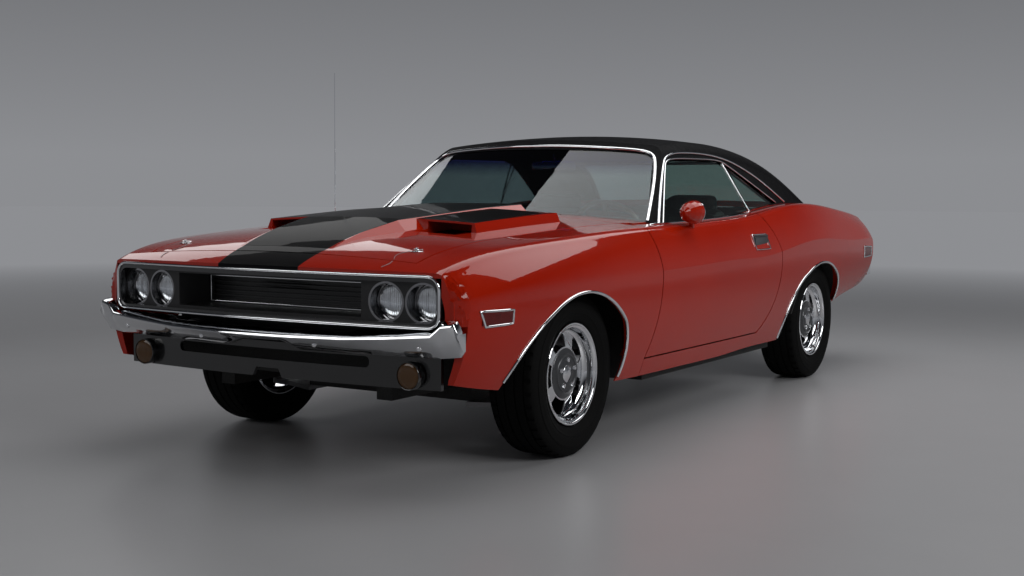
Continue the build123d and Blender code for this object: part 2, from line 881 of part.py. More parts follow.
with BuildPart() as tail_lamps:
    add(tail_band(-2, 12, 715, 825))
    with BuildSketch(cross_plane(3700)):
        with Locations((425, 770)):
            Rectangle(630, 200)
    extrude(amount=-300, mode=Mode.INTERSECT)
    mirror(about=Plane.YZ)
    tail_lamps.part.label = "tail_lamps"

with BuildPart() as rear_bumper:
    add(tail_band(70, 70 - seat_gap, 535, 635, 870))
    rear_bumper.part.label = "rear_bumper"

# Lamps that stand a little out of the body side
marker_proud = body_solid.moved(Location((4, 0, 0)))
parking_lamp_proud = 26.0
with BuildPart() as parking_lamp:
    with BuildSketch(cross_plane(-nose_middle)):
        with Locations((parking_lamp_x, parking_lamp_height)):
            Circle(parking_lamp_radius)
    extrude(amount=-200)
    lamp_gap = valance_front - seat_gap - parking_lamp_proud
    add(nose_band(lamp_gap, parking_lamp_proud, 300, 500), mode=Mode.INTERSECT)

with BuildPart() as marker_lamps:
    with BuildSketch(Plane.YZ.offset(600)):
        with Locations(side_point((-655, 612)), side_point((3640, 690))):
            Rectangle(170, 46)
    extrude(amount=500)
    add(marker_proud, mode=Mode.INTERSECT)
    add(body_solid, mode=Mode.SUBTRACT)
    add(parking_lamp.part)
    mirror(about=Plane.YZ)
    marker_lamps.part.label = "marker_lamps"

antenna_station = 526.0
with BuildPart() as antenna:
    with BuildSketch(Plane.XY.offset(890)):
        with Locations((-775, station(antenna_station))):
            Circle(15)
    extrude(amount=50)
    with BuildSketch(Plane.XY.offset(935)):
        with Locations((-775, station(antenna_station))):
            Circle(2.5)
    extrude(amount=688)
    add(mirror(body_solid, about=Plane.YZ, mode=Mode.PRIVATE), mode=Mode.SUBTRACT)
    antenna.part.label = "antenna"


# Wheels turn about X. Sections are drawn as distance outward and radius
def wheel_plane(axle_y):
    return Plane(origin=(0, axle_y, tire_radius), x_dir=(1, 0, 0), z_dir=(0, -1, 0))


def make_tire(label, centre_x, axle_y):
    # Many flat sides, one of them on the ground. Columns: distance from the middle plane and height
    half_bead = rim_width / 2 - 10
    profile = (
        (half_bead, rim_lip_radius + 2),
        (tire_width / 2, tire_bulge_radius),
        (tread_width / 2 + 6, tire_radius - 18),
        (tread_width / 2 - 8, tire_radius),
    )
    rings = [(x, r) for x, r in profile] + [(-x, r) for x, r in reversed(profile)]
    with BuildPart() as tire:
        for x, r in rings:
            with BuildSketch(Plane.YZ.offset(centre_x + x)):
                with Locations((axle_y, tire_radius)):
                    RegularPolygon(r, tire_sides, major_radius=False, rotation=180 / tire_sides)
        loft(ruled=True)
        with BuildSketch(Plane.YZ.offset(centre_x - half_bead)):
            with Locations((axle_y, tire_radius)):
                Circle(rim_radius + seat_gap)
        extrude(amount=2 * half_bead, mode=Mode.SUBTRACT)
        tire.part.label = label
    return tire


def make_wheel(label, centre_x, axle_y):
    side = 1 if centre_x > 0 else -1
    lip = rim_width / 2
    disc_out = lip - disc_recess
    with BuildPart() as wheel:
        with BuildSketch(wheel_plane(axle_y)):
            with BuildLine():
                Polyline(
                    *[
                        (centre_x + side * x, r)
                        for x, r in (
                            (lip, rim_lip_radius),
                            (lip - 9.7, rim_lip_radius),
                            (lip - 9.7, rim_radius),
                            (-lip + 9.7, rim_radius),
                            (-lip + 9.7, rim_lip_radius),
                            (-lip, rim_lip_radius),
                            (-lip, rim_radius - rim_wall),
                            (disc_out - disc_thickness, rim_radius - rim_wall),
                            (disc_out - disc_thickness, 60),
                            (-8, 60),
                            (-8, 135),
                            (-52, 135),
                            (-52, 45),
                            (-58, 45),
                            (-58, spindle_radius + running_fit),
                            (disc_out - 2, spindle_radius + running_fit),
                            (disc_out - 2, 0),
                            (disc_out + 26, 0),
                            (disc_out + 26, cap_radius),
                            (disc_out + 6, cap_radius),
                            (disc_out + 6, hub_radius),
                            (disc_out, hub_radius),
                            (disc_out, rim_radius - rim_wall),
                            (lip, rim_radius - rim_wall),
                        )
                    ],
                    close=True,
                )
            make_face()
        revolve(axis=Axis((0, axle_y, tire_radius), (1, 0, 0)))
        face_plane = Plane(
            origin=(centre_x + side * disc_out, axle_y, tire_radius), x_dir=(0, 1, 0), z_dir=(side, 0, 0)
        )
        with BuildSketch(face_plane.offset(6)):
            with PolarLocations(lug_circle_radius, lug_count):
                RegularPolygon(lug_radius, 6)
        extrude(amount=16)
        with BuildSketch(face_plane.offset(1)):
            with PolarLocations(132, wheel_windows):
                RectangleRounded(58, 106, 12)
        extrude(amount=-disc_thickness - 2, mode=Mode.SUBTRACT)
        wheel.part.label = label
    return wheel


tires = []
wheels = []
for end, axle_y, track in (("front", front_axle_y, front_track), ("rear", rear_axle_y, rear_track)):
    for hand, side in (("left", 1), ("right", -1)):
        tires.append(make_tire(f"tire_{end}_{hand}", side * track / 2, axle_y))
        wheels.append(make_wheel(f"wheel_{end}_{hand}", side * track / 2, axle_y))

# Steering knuckles on upright pivots, each with its spindle
spindle_end = rim_width / 2 - disc_recess - 2 - seat_gap
knuckle_low = 196.0
knuckle_high = 470.0
with BuildPart() as knuckle_left:
    with BuildSketch(Plane.XY.offset(knuckle_low)):
        with Locations((front_track / 2 - 73, front_axle_y)):
            Rectangle(20, 46)
    extrude(amount=knuckle_high - knuckle_low)
    with BuildSketch(Plane.YZ.offset(front_track / 2 - 83)):
        with Locations((front_axle_y, tire_radius)):
            Circle(42)
    extrude(amount=23)
    with BuildSketch(Plane.YZ.offset(front_track / 2 - 83)):
        with Locations((front_axle_y, tire_radius)):
            Circle(spindle_radius)
    extrude(amount=83 + spindle_end)
    with BuildSketch(Plane.XY.offset(knuckle_low)):
        with Locations((front_track / 2 - 73, front_axle_y)):
            Circle(steer_pivot_radius)
    extrude(amount=knuckle_high - knuckle_low)
    knuckle_left.part.label = "knuckle_left"

with BuildPart() as knuckle_right:
    mirror(knuckle_left.part, about=Plane.YZ)
    knuckle_right.part.label = "knuckle_right"

# Front suspension arms
pivot_x = front_track / 2 - 73
with BuildPart() as control_arms:
    for low, inner_x, inner_half in ((knuckle_low - 20.3, rail_x + 20, 110), (knuckle_high + 0.3, 446.3, 66)):
        with BuildSketch(Plane.XY.offset(low)):
            with BuildLine():
                Polyline(
                    (inner_x, front_axle_y - inner_half),
                    (600, front_axle_y - 32),
                    (pivot_x, front_axle_y - 24),
                    (pivot_x, front_axle_y + 24),
                    (600, front_axle_y + 32),
                    (inner_x, front_axle_y + inner_half),
                    close=True,
                )
            make_face()
            with Locations((pivot_x, front_axle_y)):
                Circle(24)
        extrude(amount=20)
    mirror(about=Plane.YZ)
    control_arms.part.label = "control_arms"

# Front frame: rails, crossmember, inner wheel panels, bumper brackets and the radiator panel
rail_front = -640.0
rail_rear = 560.0
rail_low = 270.0
rail_top = rail_low + rail_height
rail_out = rail_x + rail_width / 2
apron_wall = 16.0
apron_top = 780.0
apron_front = -560.0
apron_rear = 520.0
flange_x = 740.0
under_top = half_body.part.moved(Location((0, 0, -top_wall - seat_gap)))


with BuildPart() as fender_flange:
    with BuildSketch(Plane.XY.offset(apron_top - apron_wall)):
        with Locations((flange_x, station((apron_front + apron_rear) / 2))):
            Rectangle(10, apron_rear - apron_front)
    extrude(amount=300)
    add(side_inside.moved(Location((0, 0, -seat_gap))), mode=Mode.INTERSECT)

with BuildPart() as hood_rest:
    with BuildSketch(Plane.XY.offset(700)):
        with Locations((300, station(rail_front))):
            Circle(11)
    extrude(amount=300)
    add(under_top, mode=Mode.INTERSECT)

with BuildPart() as front_frame:
    with BuildSketch(Plane.XY.offset(rail_low)):
        with Locations((rail_x, station((rail_front + rail_rear) / 2))):
            Rectangle(rail_width, rail_rear - rail_front)
    extrude(amount=rail_height)
    with BuildSketch(Plane.XY.offset(knuckle_low)):
        with Locations((rail_out / 2, front_axle_y)):
            Rectangle(rail_out, 170)
    extrude(amount=rail_low - knuckle_low)
    with BuildSketch(Plane.XY.offset(rail_top)):
        with Locations((rail_out + apron_wall / 2, station((apron_front + apron_rear) / 2))):
            Rectangle(apron_wall, apron_rear - apron_front)
    extrude(amount=apron_top - rail_top)
    with BuildSketch(Plane.XY.offset(rail_top)):
        with Locations((rail_out, station((apron_front + apron_rear) / 2))):
            Rectangle(apron_wall, apron_rear - apron_front)
    extrude(amount=20)
    with BuildSketch(Plane.XY.offset(apron_top - apron_wall)):
        with Locations(((rail_out + flange_x) / 2 + 5, station((apron_front + apron_rear) / 2))):
            Rectangle(flange_x - rail_out, apron_rear - apron_front)
    extrude(amount=apron_wall)
    with BuildSketch(Plane.XY.offset(340)):
        with Locations((320, station(rail_front))):
            Rectangle(640, 24)
    extrude(amount=400)
    with BuildSketch(Plane.YZ.offset(rail_x - 25)):
        with BuildLine():
            bracket_front = nose_station(bumper_behind + seat_gap, rail_x + 25)
            side_line(
                (bracket_front, bumper_bottom + seat_gap),
                (bracket_front, bumper_bottom + 55),
                (rail_front + 30, bumper_bottom + 55),
                (rail_front + 30, rail_top),
                (rail_front - 10, rail_top),
                (rail_front - 10, bumper_bottom + seat_gap),
                (bracket_front, bumper_bottom + seat_gap),
            )
        make_face()
    extrude(amount=50)
    with BuildSketch(Plane.YZ.offset(290)):
        stay_front = nose_station(grille_recess, 310) + seat_gap
        with Locations((station((stay_front + rail_front) / 2), 620)):
            Rectangle(rail_front - stay_front, 40)
    extrude(amount=20)
    add(fender_flange.part)
    add(hood_rest.part)
    mirror(about=Plane.YZ)
    front_frame.part.label = "front_frame"

# Engine as one plain block, gearbox and drive shaft
with BuildPart() as engine_block:
    with BuildSketch(Plane.XY.offset(270)):
        with Locations((0, station(40))):
            Rectangle(560, 700)
    extrude(amount=500)
    engine_block.part.label = "engine_block"

with BuildPart() as driveline:
    with BuildSketch(cross_plane(390)):
        with Locations((0, 350)):
            Circle(95)
    extrude(amount=-560)
    with BuildSketch(cross_plane(950)):
        with Locations((0, tire_radius)):
            Circle(38)
    extrude(amount=-(wheelbase - 950 - 125.3))
    driveline.part.label = "driveline"

# Firewall and floor
firewall_station = 650.0
firewall_depth = 25.0
with BuildPart() as firewall:
    with BuildSketch(cross_plane(firewall_station)):
        with Locations((372, 600)):
            Rectangle(744, 2 * (600 - floor_top + floor_plate))
        with Locations((0, 330)):
            Rectangle(2 * tunnel_half_width - 2 * floor_plate, 340, mode=Mode.SUBTRACT)
    extrude(amount=-firewall_depth)
    add(half_body.part.moved(Location((0, 0, -top_wall - seat_gap))), mode=Mode.INTERSECT)
    mirror(about=Plane.YZ)
    firewall.part.label = "firewall"

floor_front = firewall_station + firewall_depth
kick_station = 2200.0
step_station = 2560.0
rear_seat_floor = 400.0
trunk_floor = 490.0
rear_plate = 22.0
jack_pad_x = 620.0
jack_pad_stations = (800, 2050)
jack_pad_size = 90.0
jack_pad_height = 12.0
with BuildPart() as floor_pan:
    with BuildSketch(cross_plane(floor_front)):
        with BuildLine():
            Polyline(
                (0, tunnel_height + 80),
                (tunnel_half_width - 30, tunnel_height + 60),
                (tunnel_half_width, floor_top),
                (740, floor_top),
                (740, 330),
                (830, 330),
                (830, floor_top - floor_plate),
                (tunnel_half_width - floor_plate, floor_top - floor_plate),
                (tunnel_half_width - 30 - floor_plate, tunnel_height + 34),
                (0, tunnel_height + 52),
                close=True,
            )
        make_face()
    extrude(amount=-(kick_station - floor_front))
    with BuildSketch(Plane.XY.offset(floor_top - floor_plate - jack_pad_height)):
        with Locations(*[(jack_pad_x, station(s)) for s in jack_pad_stations]):
            Rectangle(jack_pad_size, jack_pad_size)
    extrude(amount=jack_pad_height)
    mirror(about=Plane.YZ)
    floor_pan.part.label = "floor_pan"

with BuildPart() as rear_house:
    with BuildSketch(Plane.YZ.offset(600)):
        with Locations((rear_axle_y, tire_radius)):
            Circle(rear_house_radius + 12)
            Circle(rear_house_radius + seat_gap, mode=Mode.SUBTRACT)
        with Locations((rear_axle_y, 590)):
            Rectangle(900, 400, mode=Mode.INTERSECT)
    extrude(amount=400)
    add(side_inside.moved(Location((-seat_gap, 0, -seat_gap))), mode=Mode.INTERSECT)
    with BuildSketch(Plane.YZ.offset(600)):
        with Locations((rear_axle_y, tire_radius)):
            Circle(rear_house_radius + 12)
        with Locations((rear_axle_y, 590)):
            Rectangle(900, 400, mode=Mode.INTERSECT)
    extrude(amount=22)

with BuildPart() as rear_floor:
    with BuildSketch(Plane.YZ):
        with BuildLine():
            side_line(
                (kick_station, floor_top - floor_plate),
                (kick_station + rear_plate, floor_top - floor_plate),
                (kick_station + rear_plate, rear_seat_floor - rear_plate),
                (step_station + rear_plate, rear_seat_floor - rear_plate),
                (step_station + rear_plate, trunk_floor - rear_plate),
                (3780, trunk_floor - rear_plate),
                (3780, trunk_floor),
                (step_station, trunk_floor),
                (step_station, rear_seat_floor),
                (kick_station, rear_seat_floor),
                (kick_station, floor_top - floor_plate),
            )
        make_face()
    extrude(amount=600)
    with BuildSketch(Plane.XY.offset(rear_seat_floor)):
        with Locations((545, station(3130))):
            Rectangle(80, 1080)
    extrude(amount=trunk_floor - rear_seat_floor)
    with BuildSketch(cross_plane(kick_station)):
        with Locations((0, 300)):
            Rectangle(2 * tunnel_half_width - 2 * floor_plate, 2 * (rear_seat_floor - rear_plate - 300))
    extrude(amount=-60, mode=Mode.SUBTRACT)
    add(rear_house.part)
    mirror(about=Plane.YZ)
    rear_floor.part.label = "rear_floor"

# Rear axle on leaf springs, fuel tank and exhaust
axle_tube_radius = 40.0
spring_top = tire_radius - axle_tube_radius - seat_gap
with BuildPart() as rear_axle:
    with BuildSketch(Plane.YZ):
        with Locations((rear_axle_y, tire_radius)):
            Circle(axle_tube_radius)
    extrude(amount=rear_track / 2 - 70)
    with BuildSketch(Plane.YZ):
        with Locations((rear_axle_y, tire_radius)):
            Circle(125)
    extrude(amount=95)
    with BuildSketch(Plane.YZ):
        with Locations((rear_axle_y, tire_radius)):
            Circle(spindle_radius)
    extrude(amount=rear_track / 2 + spindle_end)
    with BuildSketch(Plane.YZ.offset(515)):
        with BuildLine():
            side_arc((2250, 330), (wheelbase, spring_top - 18), (3420, 350))
            side_line((3420, 350), (3415, 366))
            side_arc((3415, 366), (wheelbase, spring_top), (2255, 348))
            side_line((2255, 348), (2250, 330))
        make_face()
        with Locations(side_point((3415, 375))):
            Rectangle(50, 50)
    extrude(amount=60)
    with BuildSketch(Plane.YZ.offset(515)):
        with Locations(side_point((2262, 340))):
            Circle(26)
    extrude(amount=60)
    mirror(about=Plane.YZ)
    rear_axle.part.label = "rear_axle"

with BuildPart() as fuel_tank:
    with BuildSketch(Plane.XY.offset(330)):
        with Locations((0, station(3470))):
            RectangleRounded(800, 480, 60)
    extrude(amount=trunk_floor - 22 - 330)
    fuel_tank.part.label = "fuel_tank"

pipe_radius = 25.0
pipe_end = 3820.0
tip_radius = 29.0
tip_length = 80.0
with BuildPart() as exhaust:
    with BuildLine() as pipe_path:
        FilletPolyline(
            (240, station(420), 190),
            (240, station(2420), 190),
            (300, station(2690), 424),
            (300, station(2960), 424),
            (440, station(3180), 296),
            (560, station(3440), 296),
            (560, station(pipe_end), 296),
            radius=90,
        )
    with BuildSketch(Plane.XZ.offset(-station(420))):
        with Locations((240, 190)):
            Circle(pipe_radius)
    sweep(path=pipe_path.line)
    with BuildSketch(Plane.XY.offset(128)):
        with Locations((260, station(1930))):
            RectangleRounded(220, 520, 50)
    extrude(amount=floor_top - floor_plate - seat_gap - 128)
    with BuildSketch(cross_plane(pipe_end - tip_length)):
        with Locations((560, 296)):
            Circle(tip_radius)
    extrude(amount=-tip_length)
    mirror(about=Plane.YZ)
    exhaust.part.label = "exhaust"

# Cabin: dashboard, steering, seats
with BuildPart() as dashboard:
    with BuildSketch(Plane.YZ):
        with BuildLine():
            side_line((800, 980), (1010, 980), (1040, 860), (1000, 720), (800, 720), (800, 980))
        make_face()
    extrude(amount=740)
    add(body_solid.moved(Location((0, 0, -top_wall - seat_gap))), mode=Mode.INTERSECT)
    mirror(about=Plane.YZ)
    dashboard.part.label = "dashboard"

steer_x = 380.0
steer_station = 1230.0
steer_height = 830.0
steer_tilt = 24.0
column_axis = Vector(0, cos(radians(steer_tilt)), sin(radians(steer_tilt)))
steer_centre = Vector(steer_x, station(steer_station), steer_height)
column_run = steer_station - floor_front - seat_gap
column_length = column_run / cos(radians(steer_tilt)) - 24 * tan(radians(steer_tilt))
column_foot = steer_centre - column_axis * column_length
with BuildPart() as steering_column:
    with BuildSketch(Plane(origin=column_foot, x_dir=(1, 0, 0), z_dir=column_axis)):
        Circle(24)
    extrude(amount=column_length - 18 - seat_gap)
    add(dashboard.part, mode=Mode.SUBTRACT)
    steering_column.part.label = "steering_column"

with BuildPart() as steering_wheel:
    wheel_face = Plane(origin=steer_centre, x_dir=(1, 0, 0), z_dir=column_axis)
    with BuildSketch(Plane(origin=steer_centre, x_dir=column_axis, z_dir=(1, 0, 0))):
        with Locations((0, 190)):
            RegularPolygon(12, 8)
    revolve(axis=Axis(steer_centre, column_axis))
    with BuildSketch(wheel_face.offset(-18)):
        Circle(38)
    extrude(amount=26)
    with BuildSketch(wheel_face.offset(-6)):
        with PolarLocations(110, 3, start_angle=-90):
            Rectangle(150, 26)
    extrude(amount=6)
    steering_wheel.part.label = "steering_wheel"

with BuildPart() as front_seats:
    with BuildSketch(Plane.YZ.offset(165)):
        with BuildLine():
            side_line((1420, 300), (1400, 440), (1440, 480), (1880, 440), (2060, 1000), (2150, 1000))
            side_line((2150, 1000), (2010, 300), (1420, 300))
        make_face()
    extrude(amount=500)
    with BuildSketch(Plane.XY.offset(floor_top)):
        with Locations((415, station(1720))):
            Rectangle(380, 420)
    extrude(amount=300 - floor_top)
    mirror(about=Plane.YZ)
    front_seats.part.label = "front_seats"

with BuildPart() as rear_seat:
    with BuildSketch(Plane.YZ):
        with BuildLine():
            side_line((2206, 400.3), (2206, 500), (2246, 540), (2590, 520), (2740, 900), (2820, 900))
            side_line((2820, 900), (2700, 490.3), (2555, 490.3), (2555, 400.3), (2206, 400.3))
        make_face()
    extrude(amount=590)
    mirror(about=Plane.YZ)
    rear_seat.part.label = "rear_seat"

pieces = [fender_left, fender_right, door_left, door_right, quarter_left, quarter_right, hood, header_panel]
pieces += [grille_surround, grille, headlamps, front_bumper, front_valance, roof, windshield, rear_window]
pieces += [door_glass_left, door_glass_right, quarter_glass, door_mirror, cowl_panel, trunk_lid]
pieces += [upper_rear_panel, tail_panel, tail_lamps, rear_bumper, marker_lamps, antenna]
pieces += [*tires, *wheels, knuckle_left, knuckle_right, control_arms, front_frame, engine_block]
pieces += [driveline, firewall, floor_pan, rear_floor, rear_axle, fuel_tank]
pieces += [exhaust, dashboard, steering_column, steering_wheel, front_seats, rear_seat]
for piece in pieces:
    part = piece.part
    print(part.label, len(part.solids()), round(part.volume / 1e6, 2), part.is_valid)
    export_step(part, f"parts/{part.label}.step")
print(len(pieces), "nodes")
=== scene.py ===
import bpy
import math
from mathutils import Matrix, Vector


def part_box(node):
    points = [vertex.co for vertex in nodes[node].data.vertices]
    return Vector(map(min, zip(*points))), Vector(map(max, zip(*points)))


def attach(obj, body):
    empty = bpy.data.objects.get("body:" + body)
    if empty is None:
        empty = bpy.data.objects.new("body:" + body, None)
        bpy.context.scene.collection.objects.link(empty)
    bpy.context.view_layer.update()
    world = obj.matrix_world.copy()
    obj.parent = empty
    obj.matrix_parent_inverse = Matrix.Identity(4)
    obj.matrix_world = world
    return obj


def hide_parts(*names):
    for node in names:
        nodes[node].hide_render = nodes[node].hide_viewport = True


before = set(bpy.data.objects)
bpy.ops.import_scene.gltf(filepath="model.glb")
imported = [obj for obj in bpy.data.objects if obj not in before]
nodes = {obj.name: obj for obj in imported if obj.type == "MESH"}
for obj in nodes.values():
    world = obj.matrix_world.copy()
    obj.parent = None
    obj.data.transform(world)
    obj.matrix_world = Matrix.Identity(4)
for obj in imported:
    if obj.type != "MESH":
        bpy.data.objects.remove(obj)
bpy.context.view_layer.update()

# Muscle car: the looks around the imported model.
# Metres; nose towards -Y, driver's side +X, ground at Z = 0.

frontAxle = -1.4825     # Y of the front wheels' centers; stations run back from it
wheelBase = 2.794
tireRadius = 0.332
farOut = {"side": 1.3, "above": 1.6, "front": -1.3, "rear": 4.5}   # where rays at the skin start
bpy.ops.object.select_all(action="DESELECT")

# Camera at the photograph's viewing angle
camera = {
    "place": (3.513, -6.2975, 1.083),
    "turn": 31.46,      # degrees to the left of the car's length
    "dip": 4.24,        # degrees below the horizon
    "roll": 0.35,
    "lens": 48.66, "sensor": 36, "clip": (0.05, 300),
}


def setCamera(setup):
    turn, dip, roll = (math.radians(setup[key]) for key in ("turn", "dip", "roll"))
    ahead = Vector((-math.sin(turn) * math.cos(dip), math.cos(turn) * math.cos(dip), -math.sin(dip)))
    level = ahead.cross(Vector((0, 0, 1))).normalized()
    above = level.cross(ahead)
    right = level * math.cos(roll) + above * math.sin(roll)
    up = above * math.cos(roll) - level * math.sin(roll)
    bpy.ops.object.camera_add(location=setup["place"])
    made = bpy.context.object
    made.name = "photoCamera"
    made.matrix_world = Matrix((
        (right.x, up.x, -ahead.x, setup["place"][0]),
        (right.y, up.y, -ahead.y, setup["place"][1]),
        (right.z, up.z, -ahead.z, setup["place"][2]),
        (0, 0, 0, 1)))
    made.data.lens = setup["lens"]
    made.data.sensor_width = setup["sensor"]
    made.data.clip_start, made.data.clip_end = setup["clip"]
    bpy.context.scene.camera = made


setCamera(camera)

# Material helpers


def newMaterial(name, color, roughness, metal=0.0, coat=0.0, specular=0.5, ior=1.5):
    made = bpy.data.materials.new(name)
    made.use_nodes = True
    shader = made.node_tree.nodes["Principled BSDF"]
    shader.inputs["Base Color"].default_value = (*color, 1)
    shader.inputs["Roughness"].default_value = roughness
    shader.inputs["Metallic"].default_value = metal
    shader.inputs["Coat Weight"].default_value = coat
    shader.inputs["Coat Roughness"].default_value = 0.03
    shader.inputs["Specular IOR Level"].default_value = specular
    shader.inputs["IOR"].default_value = ior
    return made, made.node_tree.nodes, made.node_tree.links, shader


def objectSpace(tree):
    return tree.new("ShaderNodeTexCoord").outputs["Object"]


def noiseAt(tree, vector, scale, detail=3.0, rough=0.5):
    noise = tree.new("ShaderNodeTexNoise")
    noise.inputs["Scale"].default_value = scale
    noise.inputs["Detail"].default_value = detail
    noise.inputs["Roughness"].default_value = rough
    tree.id_data.links.new(vector, noise.inputs["Vector"])
    return noise.outputs["Fac"]


def spread(tree, value, low, high, lowOut, highOut):
    stretch = tree.new("ShaderNodeMapRange")
    for key, number in (("From Min", low), ("From Max", high), ("To Min", lowOut), ("To Max", highOut)):
        stretch.inputs[key].default_value = number
    tree.id_data.links.new(value, stretch.inputs["Value"])
    return stretch.outputs["Result"]


def reckon(tree, operation, first, second):
    step = tree.new("ShaderNodeMath")
    step.operation = operation
    for index, value in enumerate((first, second)):
        if isinstance(value, (int, float)):
            step.inputs[index].default_value = value
        else:
            tree.id_data.links.new(value, step.inputs[index])
    return step.outputs["Value"]


def twoColors(tree, value, first, second):
    mix = tree.new("ShaderNodeMix")
    mix.data_type = "RGBA"
    for key, color in (("A", first), ("B", second)):
        if isinstance(color, tuple):
            mix.inputs[key].default_value = (*color, 1)
        else:
            tree.id_data.links.new(color, mix.inputs[key])
    tree.id_data.links.new(value, mix.inputs["Factor"])
    return mix.outputs["Result"]


def addBump(tree, shader, height, strength, distance):
    bump = tree.new("ShaderNodeBump")
    bump.inputs["Strength"].default_value = strength
    bump.inputs["Distance"].default_value = distance
    tree.id_data.links.new(height, bump.inputs["Height"])
    tree.id_data.links.new(bump.outputs["Normal"], shader.inputs["Normal"])


# Finishes

noiseRange = (0.3, 0.7)     # most of a noise lies between these
paint = {
    "lit": (0.40, 0.0135, 0.0008), "deep": (0.30, 0.0080, 0.0006), "cloudScale": 1.7,
    "grainScale": 900.0, "roughness": (0.26, 0.36),
    "peelScale": 260.0, "peel": 0.012, "peelDepth": 0.0004,
    "specular": 0.12, "ior": 1.15, "coatRoughness": 0.015, "coatIor": 1.40,
}
stripe = {
    "noseHalf": 0.197, "bulgeHalf": 0.243, "noseStation": -0.89, "bulgeStation": -0.36,
    "scoopFront": -0.222, "scoopRear": 0.345, "scoopHalf": 0.527,
    "scoopUp": 0.94,        # only the flat tops of the scoops are black
    "underside": -0.35,     # the underside keeps the body's color
    "color": (0.0028, 0.0028, 0.0032),
    "roughness": (0.30, 0.52), "coatLost": 0.85,    # beside the stripe and on it
}
vinyl = {
    "dark": (0.0025, 0.0025, 0.003), "light": (0.008, 0.008, 0.009),
    "grainScale": 620.0, "grain": 0.4, "grainDepth": 0.0010,
    "patchScale": 40.0, "roughness": (0.52, 0.66), "specular": 0.12, "ior": 1.25,
}
chrome = {
    "color": (0.80, 0.81, 0.83), "hazeScale": 22.0, "hazeRange": (0.35, 0.75), "roughness": (0.03, 0.09),
    "rippleScale": 90.0, "ripple": 0.012, "rippleDepth": 0.0004,
}
screenGlass = {"tint": (0.30, 0.37, 0.40), "band": (0.02, 0.03, 0.14), "bandHeights": (1.13, 1.20)}
lampGlass = {
    "tint": (0.94, 0.96, 0.98), "roughness": 0.02, "clear": 0.95,
    "uprightScale": 34.0, "levelScale": 13.0, "flute": 0.35, "fluteDepth": 0.002,
}
glassIor = 1.45


def paintFinish(setup):
    made, tree, links, shader = newMaterial("orangeRedPaint", setup["lit"], setup["roughness"][0], coat=1.0,
                                            specular=setup["specular"], ior=setup["ior"])
    shader.inputs["Coat Roughness"].default_value = setup["coatRoughness"]
    shader.inputs["Coat IOR"].default_value = setup["coatIor"]
    space = objectSpace(tree)
    cloud = noiseAt(tree, space, setup["cloudScale"], 2.0)
    links.new(twoColors(tree, cloud, setup["deep"], setup["lit"]), shader.inputs["Base Color"])
    grain = noiseAt(tree, space, setup["grainScale"], 1.0)
    links.new(spread(tree, grain, *noiseRange, *setup["roughness"]), shader.inputs["Roughness"])
    addBump(tree, shader, noiseAt(tree, space, setup["peelScale"], 2.0), setup["peel"], setup["peelDepth"])
    return made


def stripedPaint(setup):
    made = paintFinish(paint)
    made.name = "hoodPaintWithStripe"
    tree, links = made.node_tree.nodes, made.node_tree.links
    shader = tree["Principled BSDF"]
    place = tree.new("ShaderNodeTexCoord")
    spot = tree.new("ShaderNodeSeparateXYZ")
    links.new(place.outputs["Object"], spot.inputs["Vector"])
    lean = tree.new("ShaderNodeSeparateXYZ")
    links.new(place.outputs["Normal"], lean.inputs["Vector"])
    up = lean.outputs["Z"]
    away = reckon(tree, "ABSOLUTE", spot.outputs["X"], 0)
    along = reckon(tree, "SUBTRACT", spot.outputs["Y"], frontAxle)

    def both(first, second):
        return reckon(tree, "MULTIPLY", first, second)

    def above(value, limit):
        return reckon(tree, "GREATER_THAN", value, limit)

    def below(value, limit):
        return reckon(tree, "LESS_THAN", value, limit)

    half = spread(tree, along, setup["noseStation"], setup["bulgeStation"],
                  setup["noseHalf"], setup["bulgeHalf"])
    middle = both(below(away, half), above(up, setup["underside"]))
    scoop = both(below(away, setup["scoopHalf"]), above(along, setup["scoopFront"]))
    scoop = both(both(scoop, below(along, setup["scoopRear"])), above(up, setup["scoopUp"]))
    black = reckon(tree, "MAXIMUM", middle, scoop)
    painted = shader.inputs["Base Color"].links[0].from_socket
    links.new(reckon(tree, "SUBTRACT", 1.0, both(black, setup["coatLost"])), shader.inputs["Coat Weight"])
    links.new(spread(tree, black, 0.0, 1.0, *setup["roughness"]), shader.inputs["Roughness"])
    links.new(twoColors(tree, black, painted, setup["color"]), shader.inputs["Base Color"])
    return made


def vinylFinish(setup):
    made, tree, links, shader = newMaterial("blackRoofVinyl", setup["light"], setup["roughness"][1],
                                            specular=setup["specular"], ior=setup["ior"])
    space = objectSpace(tree)
    grain = noiseAt(tree, space, setup["grainScale"], 4.0, 0.65)
    links.new(twoColors(tree, grain, setup["dark"], setup["light"]), shader.inputs["Base Color"])
    patches = noiseAt(tree, space, setup["patchScale"])
    links.new(spread(tree, patches, *noiseRange, *setup["roughness"]), shader.inputs["Roughness"])
    addBump(tree, shader, grain, setup["grain"], setup["grainDepth"])
    return made


def chromeFinish(setup):
    made, tree, links, shader = newMaterial("brightChrome", setup["color"], setup["roughness"][0], metal=1.0)
    space = objectSpace(tree)
    haze = noiseAt(tree, space, setup["hazeScale"])
    links.new(spread(tree, haze, *setup["hazeRange"], *setup["roughness"]), shader.inputs["Roughness"])
    ripple = noiseAt(tree, space, setup["rippleScale"], 1.0)
    addBump(tree, shader, ripple, setup["ripple"], setup["rippleDepth"])
    return made


